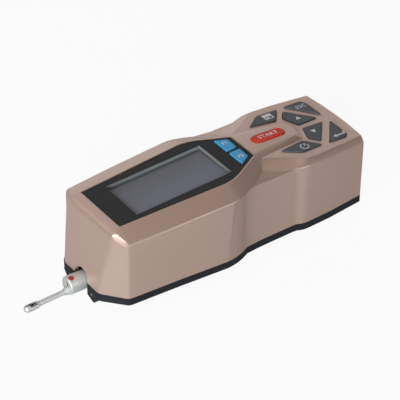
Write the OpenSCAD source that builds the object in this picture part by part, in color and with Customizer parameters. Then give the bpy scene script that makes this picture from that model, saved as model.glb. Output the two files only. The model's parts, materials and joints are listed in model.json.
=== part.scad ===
// Hand-held surface roughness tester: a moulded housing with a pinched waist on a grooved base,
// a display with keys on the roof, and a plug-in stylus pickup on a motor-driven traverse.
// Millimetres. +X runs to the rear, +Z up, and the rails stand on Z = 0.

/* [Housing] */
// Length of the housing at the parting line
body_len = 158; // [150:1:170]
// Width across the shoulders
body_w = 63.6; // [60:0.2:68]
// Width across the waist
waist_w = 53.2; // [50:0.2:56]
// Width across the hips, behind the waist
hip_w = 56; // [54:0.2:60]
// Width of the rear end
rear_w = 49.8; // [46:0.2:53]
// Width of the narrow front face
front_w = 32; // [29:0.5:34]
// Width just behind the faceted front corners
corner_w = 57; // [54:0.2:60]
// Width of the front face at its brow
brow_w = 39.6; // [36:0.2:42]
// How far the front face leans back from foot to brow
front_lean = 6.8; // [5:0.1:8]
// Reach of the rounding over the brow
brow_r = 4; // [2:0.1:4.4]
// Length of the faceted front corners
corner_len = 10.2; // [8:0.2:13]
// How far the side walls flare out from the parting line to their top edge
flare = 0.8; // [0:0.1:1.4]
// How far the rear end bulges at its middle
rear_bulge = 1.3; // [0.5:0.1:3]
// Height of the parting line above the table
part_z = 8; // [7:0.1:9]
// Height of the roof at the rear edge of the bezel
roof_z = 48.2; // [46:0.1:51]
// Wall thickness of the housing
wall = 2.2; // [1.6:0.1:2.6]
// Radius of the arch that the pickup comes out of
arch_r = 6.4; // [6.2:0.1:7.4]

/* [Roof] */
// Slope of the bezel's face, rising to the rear, in degrees
panel_tilt = 2.54; // [1:0.02:4]
// Slope of the key deck, falling to the rear, in degrees
deck_tilt = 2.58; // [1:0.02:4]
// Step down from the bezel's face to the key deck
deck_step = 0.9; // [0.5:0.1:1.6]
// Fall of the sloping band beside the bezel
band_drop = 3.5; // [2.5:0.1:5]
// Fall of the sloping band beside the key deck
deck_band_drop = 2.9; // [2:0.1:4]
// Thickness of the roof under the bezel
roof_t = 3.6; // [3.2:0.1:4.4]
// Thickness of the key deck
deck_t = 2.4; // [2:0.1:3]
// Height of the tongue that carries the start key
tongue_h = 1.8; // [0.8:0.1:2]
// Width of the tongue's top at its root
tongue_w = 17; // [15:0.2:18]
// Width of the sloping skirt at the tongue's root
skirt_w = 4.7; // [3:0.1:4.8]

/* [Display] */
// Distance from the front foot of the housing to the bezel's front edge
bezel_setback = 12.6; // [11:0.2:15]
// Width of the bezel at its front edge
bezel_front_w = 35; // [33:0.5:37]
// Greatest width of the bezel
bezel_w = 41.6; // [39:0.2:43]
// Width of the bezel at its rear edge
bezel_rear_w = 20; // [18:0.5:22]
// Thickness of the bezel, which is the depth of its window
bezel_t = 2; // [1.6:0.1:2.4]
// Length of the display window
window_l = 57.2; // [50:0.2:59]
// Width of the display window
window_w = 28.8; // [24:0.2:29.6]
// Thickness of the display glass
glass_t = 1.2; // [0.8:0.1:1.6]
// Thickness of the display module
module_t = 5; // [4:0.1:6]
// Margin of the glass and the display module around the window
glass_margin = 1.6; // [1:0.1:1.8]

/* [Keys] */
// How far a key stands above the face around it
key_rise = 0.7; // [0.5:0.1:1.4]
// Travel of a key
key_travel = 0.8; // [0.4:0.1:1]
// Gap around a key
key_gap = 0.35; // [0.2:0.05:0.4]
// Width of the flange that keeps a key in its hole
key_flange = 0.8; // [0.6:0.1:1]
// Corner radius of the dark keys
key_corner = 1; // [0.8:0.1:2]
// Length of the start key
start_l = 19.6; // [17:0.2:21]
// Width of the start key
start_w = 6.6; // [5.5:0.1:7.5]

/* [Base] */
// Height of the base plate's underside above the table
plate_z = 3.8; // [3.6:0.1:5]
// Spacing of the rails' inner edges, which is the mouth of the V-groove
groove_w = 21.4; // [20:0.2:22]
// Width of each rail's running face
rail_w = 1.6; // [1.2:0.1:2.4]
// Depth of the V-groove
groove_h = 3.7; // [2.6:0.1:3.8]
// How far the base stands proud of the housing at the front
base_lip = 0.4; // [0.2:0.1:1]
// Height of the rim that locates the housing on the base
rim_h = 2.4; // [1.6:0.1:3]

/* [Pickup] */
// Height of the pickup's axis above the table
pickup_z = 6.3; // [6:0.1:7]
// Diameter of the pickup's body
pickup_d = 9.8; // [9:0.1:10.4]
// Length of the pickup's body
pickup_len = 24.8; // [22:0.1:27]
// How far the pickup's body stands out of the housing's front foot
pickup_out = 8.3; // [6:0.1:10]
// Traverse length of the pickup
travel = 17.5; // [12:0.5:20]
// Diameter of the pickup's tube
tube_d = 2.8; // [2.4:0.1:3]
// Length of the tube that shows, to the rear end of the nose
tube_len = 16.7; // [14:0.1:20]
// Height of the tube's axis where it leaves the body
tube_z = 3.3; // [3.1:0.1:3.6]
// Droop of the tube towards its nose, in degrees
droop = 2.2; // [1:0.1:2.4]
// Diameter of the nose
nose_d = 4; // [3.6:0.1:4.1]
// Length of the nose
nose_len = 8.2; // [7:0.1:10]
// Diameter of the stylus lever
lever_d = 0.7; // [0.5:0.05:0.8]

/* [Traverse drive] */
// Diameter of the guide rods
rod_d = 4; // [3:0.1:4.6]
// Spacing of the guide rods
rod_gap = 22; // [20:0.2:23]
// Height of the guide rods above the table
rod_z = 16; // [15.6:0.1:17]
// Diameter of the lead screw
screw_d = 3.5; // [3:0.1:4]
// Height of the lead screw above the table
screw_z = 18; // [17.4:0.1:19]
// Length of the carriage
carriage_len = 14; // [12:0.5:16]
// Thickness of the drive frame's uprights
upright_t = 3; // [2.4:0.1:4]
// Diameter of the motor's gearhead
motor_d = 13; // [11:0.2:14]
// Length of the motor with its gearhead
motor_len = 30; // [24:1:32]
// Running clearance on the radius of rods and screws
running = 0.04; // [0.02:0.01:0.08]

/* [Inside] */
// Length of the battery pack
battery_l = 38; // [30:1:40]
// Width of the battery pack
battery_w = 31; // [26:0.5:32]
// Height of the battery pack
battery_h = 15; // [10:0.5:16]
// Height of the main board above the table
main_board_z = 27; // [26:0.5:29]
// Thickness of the circuit boards
board_t = 1.6; // [1.2:0.1:2]
// Diameter of the case screws' shanks
case_screw_d = 2.4; // [2:0.1:2.6]
// Diameter of the board screws' shanks
board_screw_d = 1.9; // [1.6:0.1:2.1]

/* [Hidden] */
$fn = 48;
// Overlap of cuts that pass through a face
cut = 1;
// Gap of a seated fit
seat = 0.02;

// Ends of the housing
front_x = -body_len/2;
rear_x = body_len/2;
brow_x = front_x + front_lean;
corner_x = front_x + corner_len;
// The front zone ends here, and the rear zone starts
front_zone = corner_x + 4;
rear_zone = rear_x - 3;

// Stations along the side, measured from the middle of the housing
flank_x = -40;
shoulder_x = -12;
waist_x = 3.4;
valley_x = 18;
hip_x = 39;
haunch_x = 57;
// How far the top edge of the side is pinched in at the valley
pinch = 6.8;

// Half widths of the parting line
half_front = front_w/2;
half_brow = brow_w/2;
half_corner = corner_w/2;
half_shoulder = body_w/2;
half_flank = (half_corner + half_shoulder)/2 - 0.2;
half_waist = waist_w/2;
half_hip = hip_w/2;
half_rear = rear_w/2;
half_haunch = half_hip - 0.7;

// Roof planes
bezel_front_x = front_x + bezel_setback;
bezel_rear_x = 19.4;
deck_x = 34.2;
roof_margin = 0.8;
deck_z = roof_z - deck_step + tan(deck_tilt)*(bezel_rear_x - deck_x);
function panel_z(x) = roof_z + tan(panel_tilt)*(x - bezel_rear_x);
function deck_height(x) = deck_z - tan(deck_tilt)*(x - deck_x);

// Curves and mixes
function mix(a, b, t) = a + (b - a)*t;
function curve(a, b, c, n) = [for (i = [0:n]) let (t = i/n) a*(1 - t)*(1 - t) + 2*b*t*(1 - t) + c*t*t];
function mirrored(p) = [for (q = p) [q.x, -q.y]];
function backwards(p) = [for (i = [len(p) - 1:-1:0]) p[i]];
function both_sides(p) = concat(p, backwards(mirrored(p)));
function toward(a, b, r, most = 0.45) = a + (b - a)*min(most, r/max(0.001, norm(b - a)));
function rounded(p, r) = [
    for (i = [0:len(p) - 1])
        let (a = p[(i + len(p) - 1) % len(p)], b = p[i], c = p[(i + 1) % len(p)])
            each curve(toward(b, a, r), b, toward(b, c, r), 4)
];

// Half plan of the parting line, front to rear
foot_plan = concat(
    [[front_x, half_front], [corner_x, half_corner], [flank_x, half_flank]],
    curve([shoulder_x, half_shoulder], [shoulder_x + 7.4, half_shoulder], [waist_x, half_waist + 0.9], 5),
    [[waist_x + 6.8, half_waist + 0.3], [valley_x, half_waist], [hip_x - 5.5, half_waist - 0.3]],
    curve([hip_x - 3, half_waist - 0.1], [hip_x - 1, half_hip], [hip_x + 3, half_hip], 3),
    [[haunch_x, half_haunch], [rear_x, half_rear], [rear_x + 0.75*rear_bulge, half_rear/2],
     [rear_x + rear_bulge, 0]]
);
// The same stations on the top edge of the side, pinched in to the valley
side_plan = concat(
    [[brow_x, half_brow], [corner_x, half_corner + 0.2], [flank_x, half_flank + flare]],
    curve([shoulder_x + 4, half_shoulder + flare/2], [shoulder_x + 10.5, half_shoulder + flare/2],
          [waist_x + 6.4, half_waist - 0.15*pinch], 5),
    [[mix(waist_x, valley_x, 0.71), half_waist - 0.56*pinch], [valley_x, half_waist - pinch],
     [hip_x - 6, half_waist - 0.2]],
    curve([hip_x - 3, half_waist + 1], [hip_x, half_hip + flare], [hip_x + 4, half_hip + flare], 3),
    [[haunch_x, half_haunch + flare], [rear_x, half_rear + flare],
     [rear_x + 0.75*rear_bulge, half_rear/2 + flare/2], [rear_x + rear_bulge, 0]]
);
// The same stations on the edge of the roof
bezel_half = bezel_w/2 + roof_margin;
roof_plan = concat(
    [[bezel_front_x - roof_margin, bezel_front_w/2 - 0.2],
     [bezel_front_x - 0.4, bezel_front_w/2 + roof_margin],
     [flank_x, mix(bezel_front_w, bezel_w, 0.42)/2 + roof_margin]],
    curve([-6, bezel_half], [-0.5, bezel_half], [7, bezel_half - 4], 5),
    [[bezel_rear_x - 0.6, bezel_rear_w/2 + 1.3], [valley_x + 4.5, half_waist - 2*pinch],
     [hip_x - 5, half_waist - pinch]],
    curve([hip_x - 1.5, half_waist - 4.6], [hip_x + 2, half_hip - 2.4], [hip_x + 6, half_hip - 2.4], 3),
    [[haunch_x, half_haunch - 2], [rear_x - 0.1, half_rear - 1.4],
     [rear_x + 0.75*rear_bulge - 0.1, half_rear/2 - 0.7], [rear_x + rear_bulge - 0.1, 0]]
);
stations = len(foot_plan);
valley_station = 10;
function is_waist(i) = i >= 4 && i <= 11;
// Fall of the roof from the bezel's plane to the brow
brow_drop = 0.65;
function panel_drop(i) = i == 0 ? brow_drop : band_drop;
function side_height(x, i) =
    i < valley_station ? panel_z(x) - panel_drop(i) : deck_height(x) - deck_band_drop;
function roof_height(x, i) = i < valley_station ? panel_z(x) + 0.3 : deck_height(x);
// The waist's wall ends in a ledge just below the band, which falls to the rear
ledge_drop = 0.4;
ledge_station = 9;
function wall_height(i) = i < ledge_station
    ? panel_z(foot_plan[i].x) - band_drop - ledge_drop
    : roof_z - band_drop - 2*ledge_drop - (i - ledge_station)*0.5;

// Outer rings of the shell, bottom to top, with the side and roof edges softened
foot_ring = [for (p = foot_plan) [p.x, p.y, part_z]];
side_ring = [for (i = [0:stations - 1]) let (p = side_plan[i]) [p.x, p.y, side_height(p.x, i)]];
roof_ring = [for (i = [0:stations - 1]) let (p = roof_plan[i]) [p.x, p.y, roof_height(p.x, i)]];
function wall_share(i) = i < 2 ? 0.75 : 0.94;
wall_ring = [
    for (i = [0:stations - 1])
        is_waist(i) ? [foot_plan[i].x, foot_plan[i].y + 0.1, wall_height(i)]
                    : mix(foot_ring[i], side_ring[i], wall_share(i))
];
// Upright corners are rounded with three points each
front_corner_r = 2;
side_corner_r = 1.6;
rear_corner_r = 0.8;
function corner(a, b, c, r) = let (p = toward(b, a, r), q = toward(b, c, r)) [p, (p + 2*b + q)/4, q];
rear_station = stations - 3;
function softened(r) = concat(
    corner([r[0].x, 0, r[0].z], r[0], r[1], front_corner_r),
    corner(r[0], r[1], r[2], side_corner_r),
    [for (i = [2:rear_station - 1]) r[i]],
    corner(r[rear_station - 1], r[rear_station], r[rear_station + 1], rear_corner_r),
    [for (i = [rear_station + 1:stations - 1]) r[i]]
);
foot_line = softened(foot_ring);
wall_line = softened(wall_ring);
side_line = softened(side_ring);
roof_line = softened(roof_ring);
lines = len(foot_line);
// Reach of the side's softened edge: widest over the brow, wide along the front corners
edge_r = 1.1;
corner_edge_r = 2.2;
front_reach = [brow_r, mix(brow_r, corner_edge_r, 0.5), corner_edge_r, corner_edge_r,
               mix(corner_edge_r, edge_r, 0.5)];
function reach(i) = i < len(front_reach) ? front_reach[i] : edge_r;
function ring_toward(a, b, most = 0.45) = [for (i = [0:lines - 1]) toward(a[i], b[i], reach(i), most)];
// The softened edge is round, and nearly flat along the faceted front corners
flat_share = 0.8;
function is_facet(i) = i == 2 || i == 3;
function flat_step(t) = t < 0.5 ? 0.56*t : 1 - 0.56*(1 - t);
function round_point(a, b, c, t) = a*(1 - t)*(1 - t) + 2*b*t*(1 - t) + c*t*t;
function flat_point(a, b, c, t) =
    let (u = t == 0.5 ? t : flat_step(t)) mix(round_point(a, b, c, u), mix(a, c, u), flat_share);
function ring_bend(a, b, c, t) = [
    for (i = [0:lines - 1]) is_facet(i) ? flat_point(a[i], b[i], c[i], t) : round_point(a[i], b[i], c[i], t)
];
wall_low = ring_toward(wall_line, foot_line);
wall_high = ring_toward(wall_line, side_line);
side_low = ring_toward(side_line, wall_line);
side_high = ring_toward(side_line, roof_line, 0.8);
roof_low = [for (i = [0:lines - 1]) toward(roof_line[i], side_line[i], 0.5)];
roof_top = [for (p = roof_line) [p.x, max(0, p.y - 0.4), p.z]];
outer_rings = concat(
    [foot_line, wall_low, ring_bend(wall_low, wall_line, wall_high, 0.5), wall_high],
    [for (t = [0:0.25:1]) ring_bend(side_low, side_line, side_high, t)],
    [roof_low, roof_top]
);

// Inner rings of the shell, one wall inside
function inward(p, drop) = [
    p.x < front_zone ? p.x + wall : p.x > rear_zone ? p.x - wall : p.x,
    max(0, p.y - wall), p.z - drop
];
inner_foot = [for (p = foot_line) inward(p, 0)];
// The front corners add four points to each line
valley_line = valley_station + 4;
inner_rings = [
    inner_foot,
    [for (p = wall_line) inward(p, wall)],
    [for (p = side_line) inward(p, wall)],
    [for (i = [0:lines - 1]) inward(roof_line[i], i < valley_line ? roof_t + 0.3 : deck_t)]
];

// A closed skin through half rings that are mirrored about the middle plane, capped at both ends
module mirrored_skin(rings) {
    n = len(rings[0]);
    k = len(rings);
    points = [for (s = [1, -1]) for (r = rings) for (p = r) [p.x, s*p.y, p.z]];
    function left(j, i) = j*n + i;
    function right(j, i) = (k + j)*n + i;
    sides = [
        for (j = [0:k - 2]) for (i = [0:n - 2]) each [
            [left(j, i), left(j, i + 1), left(j + 1, i + 1)],
            [left(j, i), left(j + 1, i + 1), left(j + 1, i)],
            [right(j, i), right(j + 1, i + 1), right(j, i + 1)],
            [right(j, i), right(j + 1, i), right(j + 1, i + 1)]
        ]
    ];
    fronts = [
        for (j = [0:k - 2]) each [
            [right(j, 0), left(j, 0), left(j + 1, 0)],
            [right(j, 0), left(j + 1, 0), right(j + 1, 0)]
        ]
    ];
    function rung(j, i) = i == n - 2
        ? [[left(j, i), left(j, i + 1), right(j, i)]]
        : [[left(j, i), left(j, i + 1), right(j, i + 1)], [left(j, i), right(j, i + 1), right(j, i)]];
    top = [for (i = [0:n - 2]) each rung(k - 1, i)];
    bottom = [for (i = [0:n - 2]) each [for (f = rung(0, i)) [f[0], f[2], f[1]]]];
    polyhedron(points, concat(sides, fronts, top, bottom));
}

// Frames of the two roof planes and of the pickup
module on_panel() {
    translate([bezel_rear_x, 0, roof_z]) rotate([0, -panel_tilt, 0])
        translate([-bezel_rear_x, 0, 0]) children();
}
module on_deck() {
    translate([deck_x, 0, deck_z]) rotate([0, deck_tilt, 0])
        translate([-deck_x, 0, 0]) children();
}
face_x = front_x - pickup_out;
module on_tube() {
    translate([face_x, 0, tube_z]) rotate([0, -droop, 0]) children();
}
module along_x(x, y, z) {
    translate([x, y, z]) rotate([0, 90, 0]) children();
}
tip_x = face_x - (tube_len + nose_len)*cos(droop);
seat_x = -(tip_x + rear_x + rear_bulge)/2;
// The origin lies on the table, under the middle of the whole length
module in_place() {
    translate([seat_x, 0, 0]) children();
}
module slab(outline, low, high) {
    translate([0, 0, low]) linear_extrude(high - low) polygon(outline);
}
module plain_screw(shank_d, shank_l, head_d, head_h) {
    cylinder(d = head_d, h = head_h);
    translate([0, 0, -shank_l]) cylinder(d = shank_d, h = shank_l + 0.2);
}

// Bezel and display
bezel_front_half = bezel_front_w/2;
bezel_corner_r = 0.9;
bezel_plan = concat(
    curve([bezel_front_x, bezel_front_half - bezel_corner_r], [bezel_front_x, bezel_front_half],
          [bezel_front_x + bezel_corner_r, bezel_front_half + 0.05], 3),
    [[flank_x, mix(bezel_front_w, bezel_w, 0.42)/2]],
    curve([-6, bezel_w/2], [0, bezel_w/2], [6.5, bezel_w/2 - 3.7], 5),
    [[bezel_rear_x, bezel_rear_w/2]]
);
function grown(p, g) = [for (q = p) [q.x + (q.x < 0 ? -g : q.x > bezel_rear_x - 1 ? g : 0), q.y + g]];
window_x = bezel_front_x + 12.2;
function frame_box(x, l, w, g) = [[x - g, w/2 + g], [x + l + g, w/2 + g]];
glass_plan = both_sides(frame_box(window_x, window_l, window_w, glass_margin));
display_back = bezel_t + glass_t + module_t;

// Key outlines, on the +Y side
soft_key_x = 10.6;
soft_key_plan = [[soft_key_x, 1.1], [soft_key_x + 6.3, 1.1], [soft_key_x + 6.3, 9], [soft_key_x, 12.4]];
corner_key_plan = [[34.2, 13.6], [49.3, 11.1], [56.1, 19.6], [43.7, 20.2]];
end_key_plan = [[60.6, 19.9], [73.6, 3.6], [73.6, 17.3], [71.2, 20.2]];
arrow_key_plan = [[53.7, 10.9], [57.1, 1.8], [69.5, 2.3], [57.9, 16.4]];
start_x = 35.8;
function middle(p) = [for (j = [0, 1]) let (v = [for (q = p) q[j]]) v*[for (q = p) 1]/len(p)];
function spread(p, g) = let (m = middle(p)) [for (q = p) q + (q - m)/norm(q - m)*g*1.3];
start_plan = concat(
    [for (a = [-90:15:90]) [start_x + start_l/2 - start_w/2 + cos(a)*start_w/2, sin(a)*start_w/2]],
    [for (a = [90:15:270]) [start_x - start_l/2 + start_w/2 + cos(a)*start_w/2, sin(a)*start_w/2]]
);
flange_t = 1;
stem_l = 0.6;
// Softening of a key's upper edge
key_soft = 0.3;
// Depth of a key's stem below the face it stands in
function key_depth(skin) = skin + 0.2 + flange_t + stem_l;
module key_cap(outline, skin, side) {
    mirror([0, side < 0 ? 1 : 0, 0]) {
        hull() {
            slab(outline, -skin - 0.3, key_rise - key_soft);
            slab(spread(outline, -key_soft), -skin - 0.3, key_rise);
        }
        slab(spread(outline, key_flange), -skin - 0.2 - flange_t, -skin - 0.2);
        slab(spread(outline, -1.4), -key_depth(skin), -skin - 0.2);
    }
}
module key_hole(outline, skin, side) {
    mirror([0, side < 0 ? 1 : 0, 0]) slab(spread(outline, key_gap), -skin - cut, key_rise + cut);
}
corner_key = rounded(corner_key_plan, key_corner);
end_key = rounded(end_key_plan, key_corner);
arrow_key = rounded(arrow_key_plan, key_corner);
soft_key = rounded(soft_key_plan, 0.8);
deck_keys = [corner_key, end_key, arrow_key];

// Tongue under the start key: a low platform with sloping sides that taper to a rounded end
function tongue_plan(half, corner, end) = both_sides(concat(
    [[bezel_rear_x - 1, half]],
    curve(corner, [end, 0.6*corner.y], [end, 0], 8)
));
start_end = start_x + start_l/2;
tongue_taper = 1.7;
skirt_taper = 1.9;
tongue_corner = [start_end + 2.6, tongue_w/2 - tongue_taper];
skirt_corner = [start_end + 5.7, tongue_corner.y + skirt_w - skirt_taper];
module tongue() {
    on_deck() hull() {
        slab(tongue_plan(tongue_w/2 + skirt_w, skirt_corner, start_end + 8.7), -1.5, 0);
        slab(tongue_plan(tongue_w/2, tongue_corner, start_end + 6.2), 0, tongue_h);
    }
}

// Posts and bosses inside the housing
front_post = [flank_x - 16, half_flank - 5.4];
rear_post = [haunch_x + 5, half_haunch - 4.5];
post_r = 2.6;
module each_post() {
    for (p = [front_post, rear_post]) for (s = [1, -1]) translate([p.x, s*p.y, part_z]) children();
}
module housing_post(p, top) {
    for (s = [1, -1]) translate([p.x, s*p.y, part_z]) cylinder(r = post_r, h = top - part_z);
}
board_boss_r = 2.1;
boss_half = window_w/2 + glass_margin + board_boss_r + 0.9;
display_bosses = [for (x = [window_x - 3.6, window_x + window_l + 1]) for (s = [1, -1]) [x, s*boss_half]];
front_boss_half = tongue_w/2 + board_boss_r + 1.1;
keypad_bosses = [
    [start_x - start_l/2 + 0.6, front_boss_half], [start_x - start_l/2 + 0.6, -front_boss_half],
    [start_end + 5.2, 0], [rear_x - 5, 0]
];
// Room that a pressed key leaves above its switch
press_gap = 0.2;
deck_switch_h = 1.6;
panel_switch_h = display_back - key_depth(roof_t) - key_travel - press_gap;
keypad_top = key_depth(deck_t) + key_travel + press_gap + deck_switch_h;
module bosses(spots, low, high, r) {
    for (p = spots) translate([p.x, p.y, low]) cylinder(r = r, h = high - low);
}
socket_w = 9;
socket_h = 3.4;
socket_z = main_board_z + board_t;
socket_x = rear_x - 5.6;

// Arch with upright sides that the pickup passes through
arch_lift = 0.8;
module arch(x, h) {
    along_x(x, 0, pickup_z + arch_lift) cylinder(r = arch_r, h = h);
    translate([x, -arch_r, pickup_z - arch_r]) cube([h, 2*arch_r, arch_r + arch_lift]);
}

module upper_housing() color([0.68, 0.58, 0.53]) in_place() difference() {
    union() {
        mirrored_skin(concat(backwards(inner_rings), outer_rings));
        tongue();
        housing_post(front_post, panel_z(front_post.x) - band_drop - wall + 1.2);
        housing_post(rear_post, deck_height(rear_post.x) - key_depth(deck_t) - key_travel - 1.2);
        on_panel() bosses(display_bosses, -display_back, -bezel_t - 0.6, board_boss_r);
        on_deck() bosses(keypad_bosses, -keypad_top, -deck_t + 0.8, board_boss_r);
    }
    on_panel() {
        slab(both_sides(grown(bezel_plan, 0.15)), -bezel_t, 5);
        slab(both_sides(frame_box(window_x, window_l, window_w, glass_margin + 0.3)), -roof_t - 2, 0);
        for (s = [1, -1]) key_hole(soft_key, roof_t + 0.6, s);
        bosses(display_bosses, -display_back - cut, -bezel_t - 1.4, board_screw_d/2 + 0.05);
    }
    on_deck() {
        for (p = deck_keys) for (s = [1, -1]) key_hole(p, deck_t + 0.6, s);
        slab(spread(start_plan, key_gap), -deck_t - 2, tongue_h + 2);
        bosses(keypad_bosses, -keypad_top - cut, -deck_t - 0.6, board_screw_d/2 + 0.05);
    }
    arch(front_x - 4, corner_len + 6);
    translate([socket_x, -socket_w/2 - 0.3, socket_z - 0.3]) cube([20, socket_w + 0.6, socket_h + 0.6]);
    each_post() translate([0, 0, -cut]) cylinder(d = case_screw_d + 0.1, h = 14);
}

module display_bezel() color([0.12, 0.12, 0.13]) in_place() on_panel() difference() {
    slab(both_sides(bezel_plan), -bezel_t, 0);
    slab(both_sides(frame_box(window_x, window_l, window_w, 0)), -bezel_t - cut, cut);
    for (s = [1, -1]) key_hole(soft_key, bezel_t, s);
}

module lcd_glass() color([0.42, 0.43, 0.48]) in_place() on_panel()
    slab(glass_plan, -bezel_t - glass_t, -bezel_t);

module lcd_module() color([0.75, 0.75, 0.72]) in_place() on_panel() difference() {
    slab(glass_plan, -display_back, -bezel_t - glass_t);
    for (s = [1, -1]) translate([window_x + window_l/2, s*(window_w/2 + 1), -display_back])
        cube([window_l/2, 0.8, 2], center = true);
}

display_board_plan = concat(
    [[window_x - 7, 21.4], [window_x + window_l + 4, 21.4]],
    [[window_x + window_l + 5, 14], [bezel_rear_x - 0.5, 8]]
);
module display_board() color([0.1, 0.35, 0.2]) in_place() on_panel() difference() {
    slab(both_sides(display_board_plan), -display_back - board_t, -display_back);
    bosses(display_bosses, -display_back - board_t - cut, cut - display_back, board_screw_d/2 + 0.15);
}

keypad_plan = [[deck_x - 11.7, 15.5], [deck_x + 3.8, 19], [rear_x - 2.6, 19]];
module keypad_board() color([0.1, 0.35, 0.2]) in_place() on_deck() difference() {
    slab(rounded(both_sides(keypad_plan), 2), -keypad_top - board_t, -keypad_top);
    bosses(keypad_bosses, -keypad_top - board_t - cut, cut - keypad_top, board_screw_d/2 + 0.15);
}

// A tact switch under each key, with its round plunger
module tact_switch(p, top, h) {
    translate([p.x, p.y, top]) {
        translate([-2.2, -2.2, 0]) cube([4.4, 4.4, h - 0.4]);
        cylinder(d = 2.2, h = h);
    }
}
module key_switches() color([0.2, 0.2, 0.22]) in_place() {
    on_panel() for (s = [1, -1]) {
        m = middle(soft_key_plan);
        tact_switch([m.x, s*m.y], -display_back, panel_switch_h);
    }
    on_deck() {
        for (p = [corner_key_plan, end_key_plan, arrow_key_plan]) for (s = [1, -1]) {
            m = middle(p);
            tact_switch([m.x, s*m.y], -keypad_top, deck_switch_h);
        }
        tact_switch([start_x, 0], -keypad_top, deck_switch_h);
    }
}

main_board_x = 0;
board_head_d = 3.6;
main_posts = [[main_board_x + 3, 19.6], [rear_x - 9, 14.5]];
module board_screws() color("silver") in_place() {
    on_panel() for (p = display_bosses)
        translate([p.x, p.y, -display_back - board_t]) mirror([0, 0, 1])
            plain_screw(board_screw_d, 4, board_head_d, 1.2);
    on_deck() for (p = keypad_bosses)
        translate([p.x, p.y, -keypad_top - board_t]) mirror([0, 0, 1])
            plain_screw(board_screw_d, 4, board_head_d, 1.2);
    for (p = main_posts) for (s = [1, -1])
        translate([p.x, s*p.y, main_board_z + board_t]) plain_screw(board_screw_d, 6, board_head_d, 1.2);
}

module soft_key_cap(side) color([0.27, 0.65, 0.84]) in_place() on_panel()
    key_cap(soft_key, roof_t, side);
module dark_key_cap(outline, side) color([0.29, 0.3, 0.33]) in_place() on_deck()
    key_cap(outline, deck_t, side);
module key_left() soft_key_cap(1);
module key_right() soft_key_cap(-1);
module key_save() dark_key_cap(corner_key, 1);
module key_power() dark_key_cap(corner_key, -1);
module key_escape() dark_key_cap(end_key, 1);
module key_enter() dark_key_cap(end_key, -1);
module key_up() dark_key_cap(arrow_key, 1);
module key_down() dark_key_cap(arrow_key, -1);
module key_start() color([0.84, 0.23, 0.12]) in_place() on_deck() {
    hull() {
        slab(start_plan, -deck_t - 0.3, tongue_h + key_rise - key_soft);
        slab(spread(start_plan, -key_soft), -deck_t - 0.3, tongue_h + key_rise);
    }
    slab(spread(start_plan, key_flange), -deck_t - 0.2 - flange_t, -deck_t - 0.2);
    slab(spread(start_plan, -1.4), -key_depth(deck_t), -deck_t - 0.2);
}

// Traverse drive, laid out from the front of the pickup to the rear
socket_front = face_x + pickup_len + 0.1;
socket_len = 12;
carriage_x = socket_front + 1.4;
front_upright_x = carriage_x - 3 - upright_t;
rear_upright_x = carriage_x + carriage_len + travel + 3.5;
coupling_x = rear_upright_x + upright_t + 0.8;
coupling_len = 9;
motor_upright_x = coupling_x + coupling_len + 0.8;
motor_x = motor_upright_x + upright_t;
slot_half = arch_r - 0.2;
slot_end = socket_front + socket_len + travel + 2.5;
bar_in = 13.5;
bar_out = 17.5;
bar_h = 4;
frame_h = screw_z + 6 - part_z;
bush_d = rod_d + 2;
bush_len = 4;
bearing_d = screw_d + 2.5;
bar_mid = (bar_in + bar_out)/2;
drive_holes = [[carriage_x + 4, bar_mid], [rear_upright_x + upright_t + 5, bar_mid]];
drive_screw_d = 2;
battery_x = motor_x + motor_len + 4;
strap_t = 0.8;
strap_w = 8;
strap_foot = 5;
strap_half = battery_w/2 + strap_t + strap_foot/2;
strap_holes = [battery_x + battery_l/2, strap_half];

// Base: plate, V-groove block, rim and posts
base_plan = [for (i = [0:lines - 1]) [foot_line[i].x - (i < 3 ? base_lip : 0), foot_line[i].y]];
rim_gap = 0.15;
rim_t = 1.4;
rim_lean = front_lean*rim_h/(roof_z - band_drop - part_z) + rim_gap;
rim_plan = [for (p = inner_foot) [p.x + (p.x < front_zone ? rim_lean : 0), max(0, p.y - rim_gap)]];
function rim_step(x) = x < front_zone ? rim_t : x > rear_zone - wall ? -rim_t : 0;
rim_inner = [for (p = rim_plan) [p.x + rim_step(p.x), max(0, p.y - rim_t)]];
spot_half = 10;
module front_spots() {
    for (s = [1, -1]) along_x(front_x - base_lip, s*spot_half, plate_z) children();
}
groove_half = groove_w/2;
rail_out = groove_half + rail_w;
rail_top = [half_front - 0.2, plate_z + 0.5];
half_profile = [[0, groove_h], [groove_half, 0], [rail_out, 0], rail_top];
groove_profile = concat(backwards(half_profile), [for (i = [1:3]) [-half_profile[i].x, half_profile[i].y]]);
head_sink = 1.8;
module case_screw_hole() {
    cylinder(r = post_r + 0.3, h = rim_h + cut);
    translate([0, 0, -part_z]) cylinder(d = case_screw_d + 0.4, h = part_z + cut);
    translate([0, 0, -part_z]) cylinder(d = case_screw_d + 3.2, h = plate_z + head_sink);
}
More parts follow.
